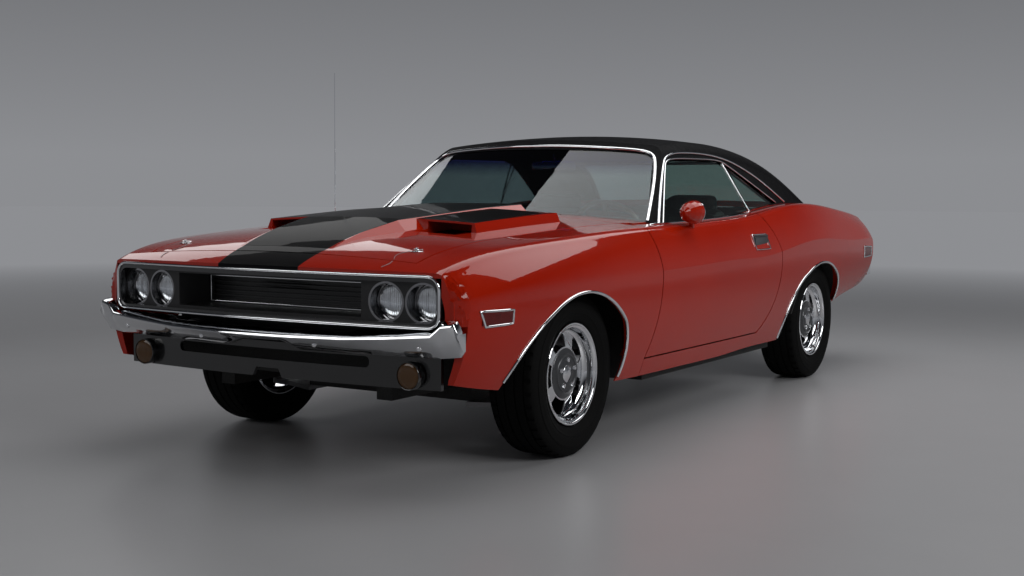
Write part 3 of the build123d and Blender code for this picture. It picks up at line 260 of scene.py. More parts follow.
def plainFinish(name, color, darker, roughness, grainScale, bump, metal=0.0, coat=0.0, specular=0.5, ior=1.5):
    made, tree, links, shader = newMaterial(name, color, roughness, metal, coat, specular, ior)
    grain = noiseAt(tree, objectSpace(tree), grainScale, 4.0)
    links.new(twoColors(tree, grain, darker, color), shader.inputs["Base Color"])
    links.new(spread(tree, grain, *noiseRange, roughness * 0.85, roughness * 1.2), shader.inputs["Roughness"])
    addBump(tree, shader, grain, bump, 0.001)
    return made


def glassFinish(name, tint, roughness, clear, haze=0.012):
    made, tree, links, shader = newMaterial(name, tint, roughness, ior=glassIor)
    shader.inputs["Transmission Weight"].default_value = clear
    film = noiseAt(tree, objectSpace(tree), 5.0)
    links.new(spread(tree, film, *noiseRange, roughness, roughness + haze), shader.inputs["Roughness"])
    return made


def screenFinish(setup):
    # Tinted all over, with a darker blue band along the top
    made, tree, links, shader = newMaterial("bandedScreenGlass", setup["tint"], 0.0, ior=glassIor)
    shader.inputs["Transmission Weight"].default_value = 1.0
    spot = tree.new("ShaderNodeSeparateXYZ")
    links.new(objectSpace(tree), spot.inputs["Vector"])
    band = spread(tree, spot.outputs["Z"], *setup["bandHeights"], 0.0, 1.0)
    links.new(twoColors(tree, band, setup["tint"], setup["band"]), shader.inputs["Base Color"])
    return made


def flutedLens(setup):
    made, tree, links, shader = newMaterial("flutedLampGlass", setup["tint"], setup["roughness"], ior=glassIor)
    shader.inputs["Transmission Weight"].default_value = setup["clear"]
    space = objectSpace(tree)
    waves = []
    for direction, scale in (("X", setup["uprightScale"]), ("Z", setup["levelScale"])):
        wave = tree.new("ShaderNodeTexWave")
        wave.bands_direction = direction
        wave.inputs["Scale"].default_value = scale
        links.new(space, wave.inputs["Vector"])
        waves.append(wave.outputs["Fac"])
    addBump(tree, shader, reckon(tree, "ADD", *waves), setup["flute"], setup["fluteDepth"])
    return made


finish = {
    "paint": paintFinish(paint),
    "striped": stripedPaint(stripe),
    "vinyl": vinylFinish(vinyl),
    "chrome": chromeFinish(chrome),
    "screen": screenFinish(screenGlass),
    "lens": flutedLens(lampGlass),
    # name, tint, roughness, how clear
    "glass": glassFinish("tintedGlass", (0.52, 0.66, 0.62), 0.0, 1.0),
    "redLens": glassFinish("redLens", (0.14, 0.004, 0.003), 0.05, 0.35),
    "parkingGlass": glassFinish("parkingLampGlass", (0.10, 0.045, 0.012), 0.08, 0.3),
}
plainLooks = {
    # name, color, darker grain, roughness, grain scale, bump, then what else the shader needs
    "gloss": ("glossBlack", (0.006, 0.006, 0.007), (0.003, 0.003, 0.003), 0.22, 120.0, 0.01,
              {"coat": 0.8}),
    "black": ("satinBlack", (0.010, 0.010, 0.011), (0.006, 0.006, 0.006), 0.35, 180.0, 0.10, {}),
    "rubber": ("tireRubber", (0.0085, 0.0085, 0.0085), (0.0045, 0.0045, 0.0045), 0.7, 260.0, 0.18,
               {"specular": 0.15, "ior": 1.25}),
    "interior": ("cabinVinyl", (0.012, 0.011, 0.011), (0.007, 0.007, 0.007), 0.5, 520.0, 0.3, {}),
    "wood": ("rimWood", (0.36, 0.15, 0.045), (0.20, 0.07, 0.018), 0.3, 60.0, 0.08, {"coat": 0.6}),
    "steel": ("bareSteel", (0.30, 0.30, 0.31), (0.16, 0.155, 0.15), 0.42, 75.0, 0.2, {"metal": 1.0}),
    "hubGray": ("hubGrayPaint", (0.085, 0.088, 0.094), (0.055, 0.057, 0.061), 0.32, 90.0, 0.06,
                {"metal": 0.6}),
    # chrome darkened with painted shade, for the headlamps
    "paintedShadeChrome": ("chromeWithPaintedShade", (0.30, 0.30, 0.31), (0.22, 0.22, 0.23), 0.10, 40.0, 0.01,
                   {"metal": 1.0}),
    "iron": ("engineIron", (0.42, 0.10, 0.03), (0.30, 0.07, 0.02), 0.5, 60.0, 0.3, {}),
    "underseal": ("underbodyBlack", (0.012, 0.012, 0.012), (0.007, 0.007, 0.006), 0.7, 140.0, 0.4, {}),
    "reflector": ("lampReflector", (0.90, 0.91, 0.92), (0.80, 0.81, 0.83), 0.08, 30.0, 0.01,
                  {"metal": 1.0}),
}
for look, (*values, further) in plainLooks.items():
    finish[look] = plainFinish(*values, **further)

nodeFinish = {
    "paint": ("fender_left fender_right door_left door_right quarter_left quarter_right "
              "trunk_lid upper_rear_panel door_mirror cowl_panel"),
    "striped": "hood header_panel",
    "vinyl": "roof",
    "chrome": ("front_bumper rear_bumper antenna wheel_front_left wheel_front_right "
               "wheel_rear_left wheel_rear_right"),
    "gloss": "grille_surround front_valance",
    # the headlamps take chrome darkened with painted shade
    "paintedShadeChrome": "headlamps",
    "black": "grille firewall tail_panel",
    "screen": "windshield",
    "glass": "rear_window door_glass_left door_glass_right quarter_glass",
    "redLens": "tail_lamps marker_lamps",
    "rubber": "tire_front_left tire_front_right tire_rear_left tire_rear_right",
    "interior": "dashboard steering_column front_seats rear_seat",
    "wood": "steering_wheel",
    "steel": "knuckle_left knuckle_right control_arms rear_axle exhaust driveline fuel_tank",
    "iron": "engine_block",
    "underseal": "front_frame floor_pan rear_floor",
}

for look, names in nodeFinish.items():
    for name in names.split():
        for place in nodes[name].material_slots:
            place.material = finish[look]
print("finishes given to", len(nodes), "nodes")

# Modelling helpers


def only(*pieces):
    if bpy.context.object and bpy.context.object.mode != "OBJECT":
        bpy.ops.object.mode_set(mode="OBJECT")
    bpy.ops.object.select_all(action="DESELECT")
    for piece in pieces:
        piece.select_set(True)
        bpy.context.view_layer.objects.active = piece


def pickFaces(piece, test):
    bpy.ops.mesh.select_mode(type="FACE")
    bpy.ops.mesh.select_all(action="DESELECT")
    bpy.ops.object.mode_set(mode="OBJECT")
    for face in piece.data.polygons:
        face.select = bool(test(face.center, face.normal))
    bpy.ops.object.mode_set(mode="EDIT")


def spun(name, section, center, axis="X", steps=96):
    # Draws the section point by point as (along, radius), then spins it about the axis
    def spot(along, radius):
        if axis == "X":
            return Vector((center[0] + along, center[1], center[2] + radius))
        if axis == "Y":
            return Vector((center[0], center[1] + along, center[2] + radius))
        return Vector((center[0] + radius, center[1], center[2] + along))

    only()
    bpy.ops.mesh.primitive_plane_add(size=0.01, location=(0, 0, 0))
    made = bpy.context.object
    made.name = name
    bpy.ops.object.mode_set(mode="EDIT")
    bpy.ops.mesh.select_mode(type="VERT")
    bpy.ops.mesh.select_all(action="SELECT")
    bpy.ops.mesh.merge(type="CENTER")
    spots = [spot(*pair) for pair in section]
    bpy.ops.transform.translate(value=spots[0])
    for before, after in zip(spots, spots[1:]):
        bpy.ops.mesh.extrude_region_move(TRANSFORM_OT_translate={"value": after - before})
    bpy.ops.mesh.select_all(action="SELECT")
    turnAxis = {"X": (1, 0, 0), "Y": (0, 1, 0), "Z": (0, 0, 1)}[axis]
    bpy.ops.mesh.spin(steps=steps, angle=2 * math.pi, center=center, axis=turnAxis)
    bpy.ops.mesh.select_all(action="SELECT")
    bpy.ops.mesh.remove_doubles(threshold=0.00002)
    bpy.ops.mesh.normals_make_consistent(inside=False)
    bpy.ops.object.mode_set(mode="OBJECT")
    return made


def block(name, low, high, bevel):
    only()
    middle = [(a + b) / 2 for a, b in zip(low, high)]
    bpy.ops.mesh.primitive_cube_add(size=1, location=middle, scale=[b - a for a, b in zip(low, high)])
    made = bpy.context.object
    made.name = name
    bpy.ops.object.transform_apply(location=True, rotation=True, scale=True)
    bpy.ops.object.mode_set(mode="EDIT")
    bpy.ops.mesh.select_all(action="SELECT")
    bpy.ops.mesh.bevel(offset=bevel, segments=3, affect="EDGES")
    bpy.ops.object.mode_set(mode="OBJECT")
    return made


def strip(name, points, radius, closed=False, smooth=True):
    # A bright moulding: a line with a round section, through the points that met the skin
    points = [spot for spot in points if spot is not None]
    only()
    bpy.ops.curve.primitive_nurbs_path_add(location=(0, 0, 0))
    made = bpy.context.object
    made.name = name
    made.data.splines.clear()
    line = made.data.splines.new("NURBS" if smooth else "POLY")
    line.points.add(len(points) - 1)
    for spot, target in zip(line.points, points):
        spot.co = (*target, 1)
    line.use_cyclic_u = closed
    if smooth:
        line.use_endpoint_u = not closed
        line.order_u = 3
        line.resolution_u = 3
    made.data.bevel_depth = radius
    made.data.bevel_resolution = 2
    made.data.use_fill_caps = not closed
    bpy.ops.object.convert(target="MESH")
    return bpy.context.object


def modified(piece, kind, **values):
    only(piece)
    bpy.ops.object.modifier_add(type=kind)
    added = piece.modifiers[-1]
    for key, value in values.items():
        setattr(added, key, value)
    bpy.ops.object.modifier_apply(modifier=added.name)


def mirrored(piece):
    only(piece)
    piece.scale = (-1, 1, 1)
    bpy.ops.object.transform_apply(location=True, rotation=True, scale=True)
    bpy.ops.object.mode_set(mode="EDIT")
    bpy.ops.mesh.select_all(action="SELECT")
    bpy.ops.mesh.normals_make_consistent(inside=False)
    bpy.ops.object.mode_set(mode="OBJECT")


def moved(piece, shift):
    only(piece)
    piece.location = shift
    bpy.ops.object.transform_apply(location=True, rotation=True, scale=True)


def copyOf(piece, name):
    only(piece)
    bpy.ops.object.duplicate(linked=False)
    twin = bpy.context.object
    twin.name = name
    return twin


def otherSide(piece, name):
    twin = copyOf(piece, name)
    mirrored(twin)
    return twin


def joined(pieces, name):
    only(*pieces)
    bpy.ops.object.join()
    made = bpy.context.object
    made.name = name
    return made


def done(piece, body, look, sharp=35, stands=()):
    only(piece)
    bpy.ops.object.transform_apply(location=True, rotation=True, scale=True)
    piece.data.materials.clear()
    piece.data.materials.append(finish[look])
    bpy.ops.object.shade_smooth_by_angle(angle=math.radians(sharp))
    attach(piece, body)
    if stands:
        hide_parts(*stands)
    return piece


def bothSides(left, body, look, sharp):
    # The left piece and its mirrored twin, each on its own side's body
    right = otherSide(left, left.name.replace("left", "right"))
    done(left, body, look, sharp)
    done(right, body.replace("left", "right"), look, sharp)


def at(x, station, z):
    return Vector((x, frontAxle + station, z))


def arcThrough(first, second, third, count):
    ax, ay = first
    bx, by = second
    cx, cy = third
    twice = 2 * (ax * (by - cy) + bx * (cy - ay) + cx * (ay - by))
    a, b, c = (x**2 + y**2 for x, y in (first, second, third))
    ux = (a * (by - cy) + b * (cy - ay) + c * (ay - by)) / twice
    uy = (a * (cx - bx) + b * (ax - cx) + c * (bx - ax)) / twice
    radius = math.hypot(ax - ux, ay - uy)
    start, middle, end = (math.atan2(y - uy, x - ux) for x, y in (first, second, third))
    turn = (end - start) % (2 * math.pi)
    if (middle - start) % (2 * math.pi) > turn:
        turn -= 2 * math.pi
    turns = [start + turn * step / count for step in range(count + 1)]
    return [(ux + radius * math.cos(angle), uy + radius * math.sin(angle)) for angle in turns]


def roundEdges(corners, count):
    # Steps along a closed outline, corner to corner
    return [(a0 + (a1 - a0) * step / count, b0 + (b1 - b0) * step / count)
            for (a0, b0), (a1, b1) in zip(corners, corners[1:] + corners[:1]) for step in range(count)]


skins = {}   # shaped copies that stand for a node


def skinAt(nodeName, origin, direction):
    carrier = skins.get(nodeName, nodes[nodeName])
    found, place = carrier.ray_cast(Vector(origin), Vector(direction))[:2]
    return place if found else None


def sideSkin(nodeName, station, z, proud=0.0):
    place = skinAt(nodeName, at(farOut["side"], station, z), (-1, 0, 0))
    return place + Vector((proud, 0, 0)) if place else None


def downSkin(nodeName, x, station, proud):
    place = skinAt(nodeName, at(x, station, farOut["above"]), (0, 0, -1))
    return place + Vector((0, 0, proud)) if place else None


# Tires: ribbed sidewalls, four grooves round the tread and cross cuts on its shoulders
tire = {
    "steps": 120,
    "shoulder": (0.066, 0.0935), "treadFrom": 0.3255, "cutEvery": 3, "cutDepth": 0.984,
    "section": (
        (0.0800, 0.1960), (0.0862, 0.2096), (0.0930, 0.2140), (0.0985, 0.2205), (0.1040, 0.2320),
        (0.1085, 0.2455), (0.1098, 0.2466), (0.1100, 0.2490), (0.1093, 0.2502), (0.1112, 0.2580),
        (0.1120, 0.2660), (0.1118, 0.2740), (0.1108, 0.2860), (0.1110, 0.2880), (0.1098, 0.2925),
        (0.1080, 0.2930), (0.1058, 0.3030), (0.1020, 0.3135), (0.0975, 0.3210), (0.0920, 0.3262),
        (0.0860, 0.3290), (0.0780, 0.3307), (0.0660, 0.3314), (0.0655, 0.3245), (0.0595, 0.3245),
        (0.0590, 0.3316), (0.0440, 0.3319), (0.0260, 0.3320), (0.0255, 0.3245), (0.0195, 0.3245),
        (0.0190, 0.3320),
    ),
}


def makeTire(setup):
    half = list(setup["section"])
    section = [(-x, r) for x, r in half] + list(reversed(half)) + [(-half[0][0], half[0][1])]
    made = spun("tire", section, (0, 0, 0), "X", setup["steps"])
    bpy.ops.object.mode_set(mode="EDIT")
    pitch = 2 * math.pi / setup["steps"]
    inner, outer = setup["shoulder"]

    def shoulderCut(center, normal):
        onTread = math.hypot(center.y, center.z) > setup["treadFrom"]
        index = math.floor(math.atan2(center.z, center.y) / pitch) + 1
        return inner < abs(center.x) < outer and onTread and index % setup["cutEvery"] == 0

    pickFaces(made, shoulderCut)
    bpy.ops.mesh.extrude_region_move()
    bpy.ops.transform.resize(value=(1, setup["cutDepth"], setup["cutDepth"]), center_override=(0, 0, 0))
    bpy.ops.object.mode_set(mode="OBJECT")
    return made


# Wheels: chromed rim and slotted dish, gray center, lug nuts and cap
wheel = {
    "rim": (
        (0.0883, 0.1895), (0.0883, 0.2050), (0.0920, 0.2062), (0.0958, 0.2066), (0.0976, 0.2050),
        (0.0980, 0.2015), (0.0966, 0.1985), (0.0935, 0.1968), (0.0915, 0.1940), (0.0910, 0.1900),
        (0.0895, 0.1872), (0.0850, 0.1852), (0.0760, 0.1838), (0.0640, 0.1822), (0.0560, 0.1790),
        (0.0500, 0.1740), (0.0465, 0.1672), (0.0430, 0.1672), (0.0440, 0.1760), (0.0500, 0.1830),
        (-0.0700, 0.1845), (-0.0850, 0.1860), (-0.0930, 0.1955), (-0.0980, 0.2010), (-0.0980, 0.2050),
        (-0.0900, 0.2066), (-0.0883, 0.2050), (-0.0883, 0.1895), (0.0883, 0.1895),
    ),
    "dish": ((0.0452, 0.1690), (0.0458, 0.1585), (0.0480, 0.1500), (0.0510, 0.1400), (0.0540, 0.1290),
             (0.0566, 0.1180), (0.0584, 0.1085), (0.0592, 0.0960)),
    "slotOuter": 0.1640, "slotInner": 0.1060, "slots": 5, "slotShare": 0.62, "slotRounding": 0.28,
    "dishWall": 0.005, "dishBevel": 0.0012,
    "center": ((0.0500, 0.0), (0.0500, 0.1005), (0.0600, 0.1020), (0.0622, 0.0995), (0.0632, 0.0960),
               (0.0650, 0.0860), (0.0672, 0.0800), (0.0705, 0.0780), (0.0718, 0.0755), (0.0705, 0.0725),
               (0.0680, 0.0700), (0.0680, 0.0420), (0.0690, 0.0390), (0.0690, 0.0)),
    "cap": ((0.0680, 0.0), (0.0680, 0.0345), (0.0715, 0.0340), (0.0735, 0.0315), (0.0745, 0.0240),
            (0.0785, 0.0180), (0.0795, 0.0100), (0.0798, 0.0)),
    "lugs": 5, "lugRing": 0.0560,
    "lug": ((0.0660, 0.0), (0.0660, 0.0108), (0.0690, 0.0100), (0.0770, 0.0098), (0.0795, 0.0080),
            (0.0806, 0.0040), (0.0808, 0.0)),
}


def makeRim(setup):
    rim = spun("rim", setup["rim"], (0, 0, 0), "X", 96)
    dish = spun("dish", setup["dish"], (0, 0, 0), "X", 100)
    bpy.ops.object.mode_set(mode="EDIT")
    pitch = 2 * math.pi / setup["slots"]

    def inSlot(center, normal):
        radius = math.hypot(center.y, center.z)
        share = (math.atan2(center.z, center.y) / pitch) % 1
        inward = (radius - setup["slotInner"]) / (setup["slotOuter"] - setup["slotInner"])
        half = setup["slotShare"] / 2 * (1 - setup["slotRounding"] * abs(2 * inward - 1) ** 4)
        return setup["slotInner"] < radius < setup["slotOuter"] and abs(share - 0.5) < half

    pickFaces(dish, inSlot)
    bpy.ops.mesh.delete(type="FACE")
    bpy.ops.object.mode_set(mode="OBJECT")
    modified(dish, "SOLIDIFY", thickness=setup["dishWall"], offset=-1)
    modified(dish, "BEVEL", width=setup["dishBevel"], segments=2, limit_method="ANGLE")
    return joined([dish, rim], "rim")


def makeCap(setup):
    # A rounded cap among six-sided nuts
    cap = spun("wheelCap", setup["cap"], (0, 0, 0), "X", 48)
    nuts = []
    for index in range(setup["lugs"]):
        turn = math.radians(90 + 360 / setup["lugs"] * index)
        center = (0, setup["lugRing"] * math.cos(turn), setup["lugRing"] * math.sin(turn))
        nuts.append(spun("lug", setup["lug"], center, "X", 6))
    return joined(nuts + [cap], "wheelCap")


hubs = (   # name, x and station of the center, side
    ("front_left", 0.758, 0.0, 1), ("front_right", -0.758, 0.0, -1),
    ("rear_left", 0.771, wheelBase, 1), ("rear_right", -0.771, wheelBase, -1),
)
wheelPieces = (   # pattern, name, look, slot, and the node that each copy stands for
    (makeTire(tire), "tireOn", "rubber", "tire_rubber", "tire"),
    (makeRim(wheel), "slottedWheel", "chrome", "chrome", "wheel"),
    (spun("wheelCenter", wheel["center"], (0, 0, 0), "X", 72), "wheelCenter", "hubGray", "black_paint", None),
    (makeCap(wheel), "wheelCap", "chrome", "chrome", None),
)
for hubName, x, station, side in hubs:
    for pattern, name, look, slotName, stem in wheelPieces:
        piece = copyOf(pattern, f"{name}_{hubName}")
        if side < 0:
            mirrored(piece)
        moved(piece, at(x, station, tireRadius))
        stands = (f"{stem}_{hubName}",) if stem else ()
        done(piece, f"wheel_{hubName}", look, sharp=32, stands=stands)
for row in wheelPieces:
    bpy.data.objects.remove(row[0])
print("wheels and tires ready")

# Lamps: reflector bowl, fluted lens and a bright ring at the floor of each tube
lamps = {
    "places": ((0.555, -0.7783), (0.707, -0.7618)),   # x and the station of the tube's floor
    "height": 0.665,
    "bowl": ((0.0, 0.0), (-0.0010, 0.0200), (-0.0030, 0.0400), (-0.0062, 0.0560), (-0.0100, 0.0640),
             (-0.0108, 0.0632), (-0.0075, 0.0545), (-0.0045, 0.0390), (-0.0028, 0.0200), (-0.0020, 0.0)),
    "glass": ((-0.0110, 0.0), (-0.0110, 0.0400), (-0.0112, 0.0610), (-0.0135, 0.0615), (-0.0170, 0.0590),
              (-0.0205, 0.0500), (-0.0232, 0.0350), (-0.0247, 0.0180), (-0.0250, 0.0)),
    "rim": ((-0.0090, 0.0600), (-0.0160, 0.0596), (-0.0180, 0.0612), (-0.0178, 0.0640), (-0.0120, 0.0654),
            (-0.0080, 0.0650), (-0.0090, 0.0600)),
}
for index, (x, station) in enumerate(lamps["places"]):
    center = at(x, station, lamps["height"])
    for part, look, slotName in (("bowl", "reflector", "chrome"), ("glass", "lens", "lamp_glass"),
                                 ("rim", "chrome", "chrome")):
        shape = spun(f"lamp_{part}_{index}_left", lamps[part], center, "Y", 64)
        bothSides(shape, "body", look, sharp=40)
print("lamps ready")

# Grille: a thin bright rectangle deep inside
grilleFrame = {
    "half": 0.3935, "low": 0.6155, "high": 0.7225, "station": -0.7355,
    "width": 0.0045, "thickness": 0.006, "bevel": 0.0012,
}


def makeGrilleFrame(setup):
    only()
    bpy.ops.mesh.primitive_plane_add(size=1, rotation=(math.radians(90), 0, 0))
    made = bpy.context.object
    made.name = "grille_bright_frame"
    made.scale = (2 * setup["half"], setup["high"] - setup["low"], 1)
    made.location = at(0, setup["station"], (setup["high"] + setup["low"]) / 2)
    bpy.ops.object.transform_apply(location=True, rotation=True, scale=True)
    bpy.ops.object.mode_set(mode="EDIT")
    bpy.ops.mesh.select_all(action="SELECT")
    bpy.ops.mesh.inset(thickness=setup["width"])
    bpy.ops.mesh.delete(type="FACE")
    bpy.ops.object.mode_set(mode="OBJECT")
    modified(made, "SOLIDIFY", thickness=setup["thickness"], offset=0)
    modified(made, "BEVEL", width=setup["bevel"], segments=2)
    return made


done(makeGrilleFrame(grilleFrame), "body", "chrome")

# Front fenders with their nose corners drawn in to the lamp surround
noseCorner = {
    "inside": 0.7990, "start": -0.785, "depth": 0.0600, "least": 0.05,
    "cuts": (-0.797, -0.808, -0.818, -0.827, -0.834, -0.8395),
}
# Bumper ends drawn in at the fender corners
bumperEnd = {"inside": 0.800, "width": 0.62, "bevel": 0.003, "bevelAngle": 28}


def copyOfNode(nodeName, name):
    made = bpy.data.objects.new(name, nodes[nodeName].data.copy())
    bpy.context.scene.collection.objects.link(made)
    only(made)
    bpy.ops.object.mode_set(mode="EDIT")
    bpy.ops.mesh.select_all(action="SELECT")
    bpy.ops.mesh.remove_doubles(threshold=0.00004)
    bpy.ops.object.mode_set(mode="OBJECT")
    if made.data.has_custom_normals:
        bpy.ops.mesh.customdata_custom_splitnormals_clear()
    return made


def pickPoints(piece, test):
    bpy.ops.object.mode_set(mode="EDIT")
    bpy.ops.mesh.select_mode(type="VERT")
    bpy.ops.mesh.select_all(action="DESELECT")
    bpy.ops.object.mode_set(mode="OBJECT")
    for point in piece.data.vertices:
        point.select = bool(test(point.co))
    bpy.ops.object.mode_set(mode="EDIT")


def roundedFender(nodeName, side, setup):
    made = copyOfNode(nodeName, f"{nodeName}_skin")
    for cut in setup["cuts"]:
        bpy.ops.object.mode_set(mode="EDIT")
        bpy.ops.mesh.select_all(action="SELECT")
        bpy.ops.mesh.bisect(plane_co=at(0, cut, 0), plane_no=(0, 1, 0))
        bpy.ops.object.mode_set(mode="OBJECT")
    inside = setup["inside"]
    share = 1.0
    for cut in setup["cuts"]:
        # each cut is a little narrower than the one behind it, on a quarter ellipse
        ahead = min(1.0, (setup["start"] - cut) / setup["depth"])
        target = max(setup["least"], math.sqrt(max(0.0, 1 - ahead * ahead)))
        edge = frontAxle + cut + 0.0002
        pickPoints(made, lambda spot: spot.y < edge and spot.x * side > inside)
        bpy.ops.transform.resize(value=(target / share, 1, 1), center_override=(side * inside, 0, 0))
        bpy.ops.object.mode_set(mode="OBJECT")
        share = target
    return made


def drawnBumper(setup):
    made = copyOfNode("front_bumper", "front_bumper_skin")
    inside = setup["inside"]
    for side in (-1, 1):
        pickPoints(made, lambda spot: spot.x * side > inside)
        bpy.ops.transform.resize(value=(setup["width"], 1, 1), center_override=(side * inside, 0, 0))
        bpy.ops.object.mode_set(mode="OBJECT")
    modified(made, "BEVEL", width=setup["bevel"], segments=2, limit_method="ANGLE",
             angle_limit=math.radians(setup["bevelAngle"]))
    return made


for nodeName, side in (("fender_left", 1), ("fender_right", -1)):
    skins[nodeName] = roundedFender(nodeName, side, noseCorner)
    done(skins[nodeName], "body", "paint", sharp=22, stands=(nodeName,))
skins["front_bumper"] = drawnBumper(bumperEnd)
done(skins["front_bumper"], "body", "chrome", sharp=30, stands=("front_bumper",))
print("nose corners and bumper ends shaped")

# The surround's bright lip, drawn on the nose curve
lip = {
    "half": 0.7915, "low": 0.5812, "high": 0.7630, "upperCorner": 0.050, "lowerCorner": 0.042,
    "noseStation": -0.905, "noseRadius": 5.8457, "tube": 0.0062, "proud": 0.0015,
    "flatSteps": 24, "cornerSteps": 8,
}


def cornerPoints(x, z, radius, start):
    count = lip["cornerSteps"]
    turns = [math.radians(start + 90 * step / count) for step in range(count + 1)]
    return [(x + radius * math.cos(turn), z + radius * math.sin(turn)) for turn in turns]


def noseLip(setup):
    half, low, high = setup["half"], setup["low"], setup["high"]
    upper, lower = setup["upperCorner"], setup["lowerCorner"]
    noseRadius, count = setup["noseRadius"], setup["flatSteps"]
    loop = [(-half + lower + (2 * (half - lower)) * step / count, low) for step in range(1, count)]
    loop += cornerPoints(half - lower, low + lower, lower, -90)
    loop += cornerPoints(half - upper, high - upper, upper, 0)
    loop += [(half - upper - (2 * (half - upper)) * step / count, high) for step in range(1, count)]
    loop += cornerPoints(-half + upper, high - upper, upper, 90)
    loop += cornerPoints(-half + lower, low + lower, lower, 180)
    points = []
    for x, z in loop:
        station = setup["noseStation"] - setup["proud"] + noseRadius - math.sqrt(noseRadius**2 - x**2)
        points.append(at(x, station, z))
    return strip("lamp_surround_lip", points, setup["tube"], closed=True)


done(noseLip(lip), "body", "chrome", sharp=60)

# Bright mouldings round the wheel openings
openings = {
    # end, node, the wheel's station, and three arcs as (station, height)
    "ends": (
        ("front", "fender_left", 0.0, (((-0.562, 0.335), (-0.452, 0.490), (-0.292, 0.598)),
                                       ((-0.292, 0.598), (0.025, 0.658), (0.298, 0.528)),
                                       ((0.298, 0.528), (0.342, 0.400), (0.312, 0.240)))),
        ("rear", "quarter_left", wheelBase, (((2.190, 0.240), (2.276, 0.490), (2.470, 0.610)),
                                             ((2.470, 0.610), (2.790, 0.656), (3.020, 0.580)),
                                             ((3.020, 0.580), (3.108, 0.480), (3.130, 0.360)))),
    ),
    "arcSteps": 12, "outward": 0.005, "proud": 0.0005, "radius": 0.0072,
}


def openingMoulding(name, nodeName, middle, arcs, setup):
    line = []
    for arc in arcs:
        line += arcThrough(*arc, setup["arcSteps"])[1 if line else 0:]
    points = []
    for station, z in line:
        away = Vector((station - middle, z - tireRadius)).normalized() * setup["outward"]
        points.append(sideSkin(nodeName, station + away.x, z + away.y, setup["proud"]))
    return strip(name, points, setup["radius"])


for end, nodeName, middle, arcs in openings["ends"]:
    moulding = openingMoulding(f"{end}_opening_moulding_left", nodeName, middle, arcs, openings)
    bothSides(moulding, "body", "chrome", sharp=60)

# Window mouldings on the roof's leaning sides, as (station, height)
windows = {
    "strips": (   # name, radius, how far it stands proud, points
        ("side_window_rail_left", 0.0065, 0.003, (
            (0.872, 0.914), (0.900, 0.940), (1.046, 1.062), (1.208, 1.190), (1.262, 1.222), (1.331, 1.238),
            (1.429, 1.249), (1.660, 1.252), (1.886, 1.242), (2.086, 1.212), (2.297, 1.148), (2.459, 1.072),
            (2.581, 1.003))),
        ("side_window_reveal_left", 0.0042, -0.001, (
            (0.905, 0.893), (1.214, 1.171), (1.261, 1.204), (1.350, 1.220), (1.640, 1.2225), (1.890, 1.223),
            (2.012, 1.201), (2.458, 0.999))),
        ("quarter_glass_divider_left", 0.0055, -0.010, (
            (1.9600, 1.2150), (2.0010, 1.0800), (2.0420, 0.9480))),
    ),
    "footX": 0.827, "footHeight": 0.870, "rise": 1.97,     # the side's plane: height gained over lean
}


def onSidePlane(station, z, proud):
    x = windows["footX"] - (z - windows["footHeight"]) / windows["rise"] + proud
    return at(x, station, z)


for name, radius, proud, line in windows["strips"]:
    moulding = strip(name, [onSidePlane(station, z, proud) for station, z in line], radius)
    bothSides(moulding, "body", "chrome", sharp=60)

# Bright surrounds of the windscreen and the rear window, laid on the roof's own edges
screens = {
    "edge": (   # the left half from foot to middle: x, station, height
        (0.756, 0.868, 0.925), (0.713, 0.999, 1.038), (0.668, 1.119, 1.141), (0.628, 1.200, 1.213),
        (0.603, 1.219, 1.236), (0.560, 1.224, 1.250), (0.454, 1.200, 1.260), (0.345, 1.180, 1.266),
        (0.170, 1.165, 1.270), (0.0, 1.160, 1.271)),
    "frontRadius": 0.0095, "frontProud": 0.003,
    "rearRadius": 0.0085, "rearProud": 0.002, "rearSteps": 44, "rearGrow": 0.014, "rearApart": 0.02,
}


def nearSkin(nodeName, spot, proud):
    place, normal = nodes[nodeName].closest_point_on_mesh(spot)[1:3]
    return place + normal * proud


def outline(nodeName, count, grow, apart):
    # Furthest points of a pane seen from behind, moved a little outwards
    spots = [point.co.copy() for point in nodes[nodeName].data.vertices]
    center = sum(spots, Vector()) / len(spots)
    found = []
    for step in range(count):
        turn = 2 * math.pi * (step + 0.5) / count
        toward = Vector((math.cos(turn), 0, math.sin(turn)))
        best = max(spots, key=lambda spot: (spot - center).dot(toward))
        if not found or (best - found[-1]).length > apart:
            found.append(best)
    return [spot + Vector((spot.x - center.x, 0, spot.z - center.z)).normalized() * grow for spot in found]


half = [nearSkin("roof", at(*spot), screens["frontProud"]) for spot in screens["edge"]]
line = half + [Vector((-place.x, place.y, place.z)) for place in reversed(half[:-1])]
done(strip("windscreen_moulding", line, screens["frontRadius"]), "body", "chrome", sharp=60)
paneEdge = outline("rear_window", screens["rearSteps"], screens["rearGrow"], screens["rearApart"])
line = [nearSkin("roof", spot, screens["rearProud"]) for spot in paneEdge]
moulding = strip("rear_window_moulding", line, screens["rearRadius"], closed=True, smooth=False)
done(moulding, "body", "chrome", sharp=60)
print("mouldings ready")

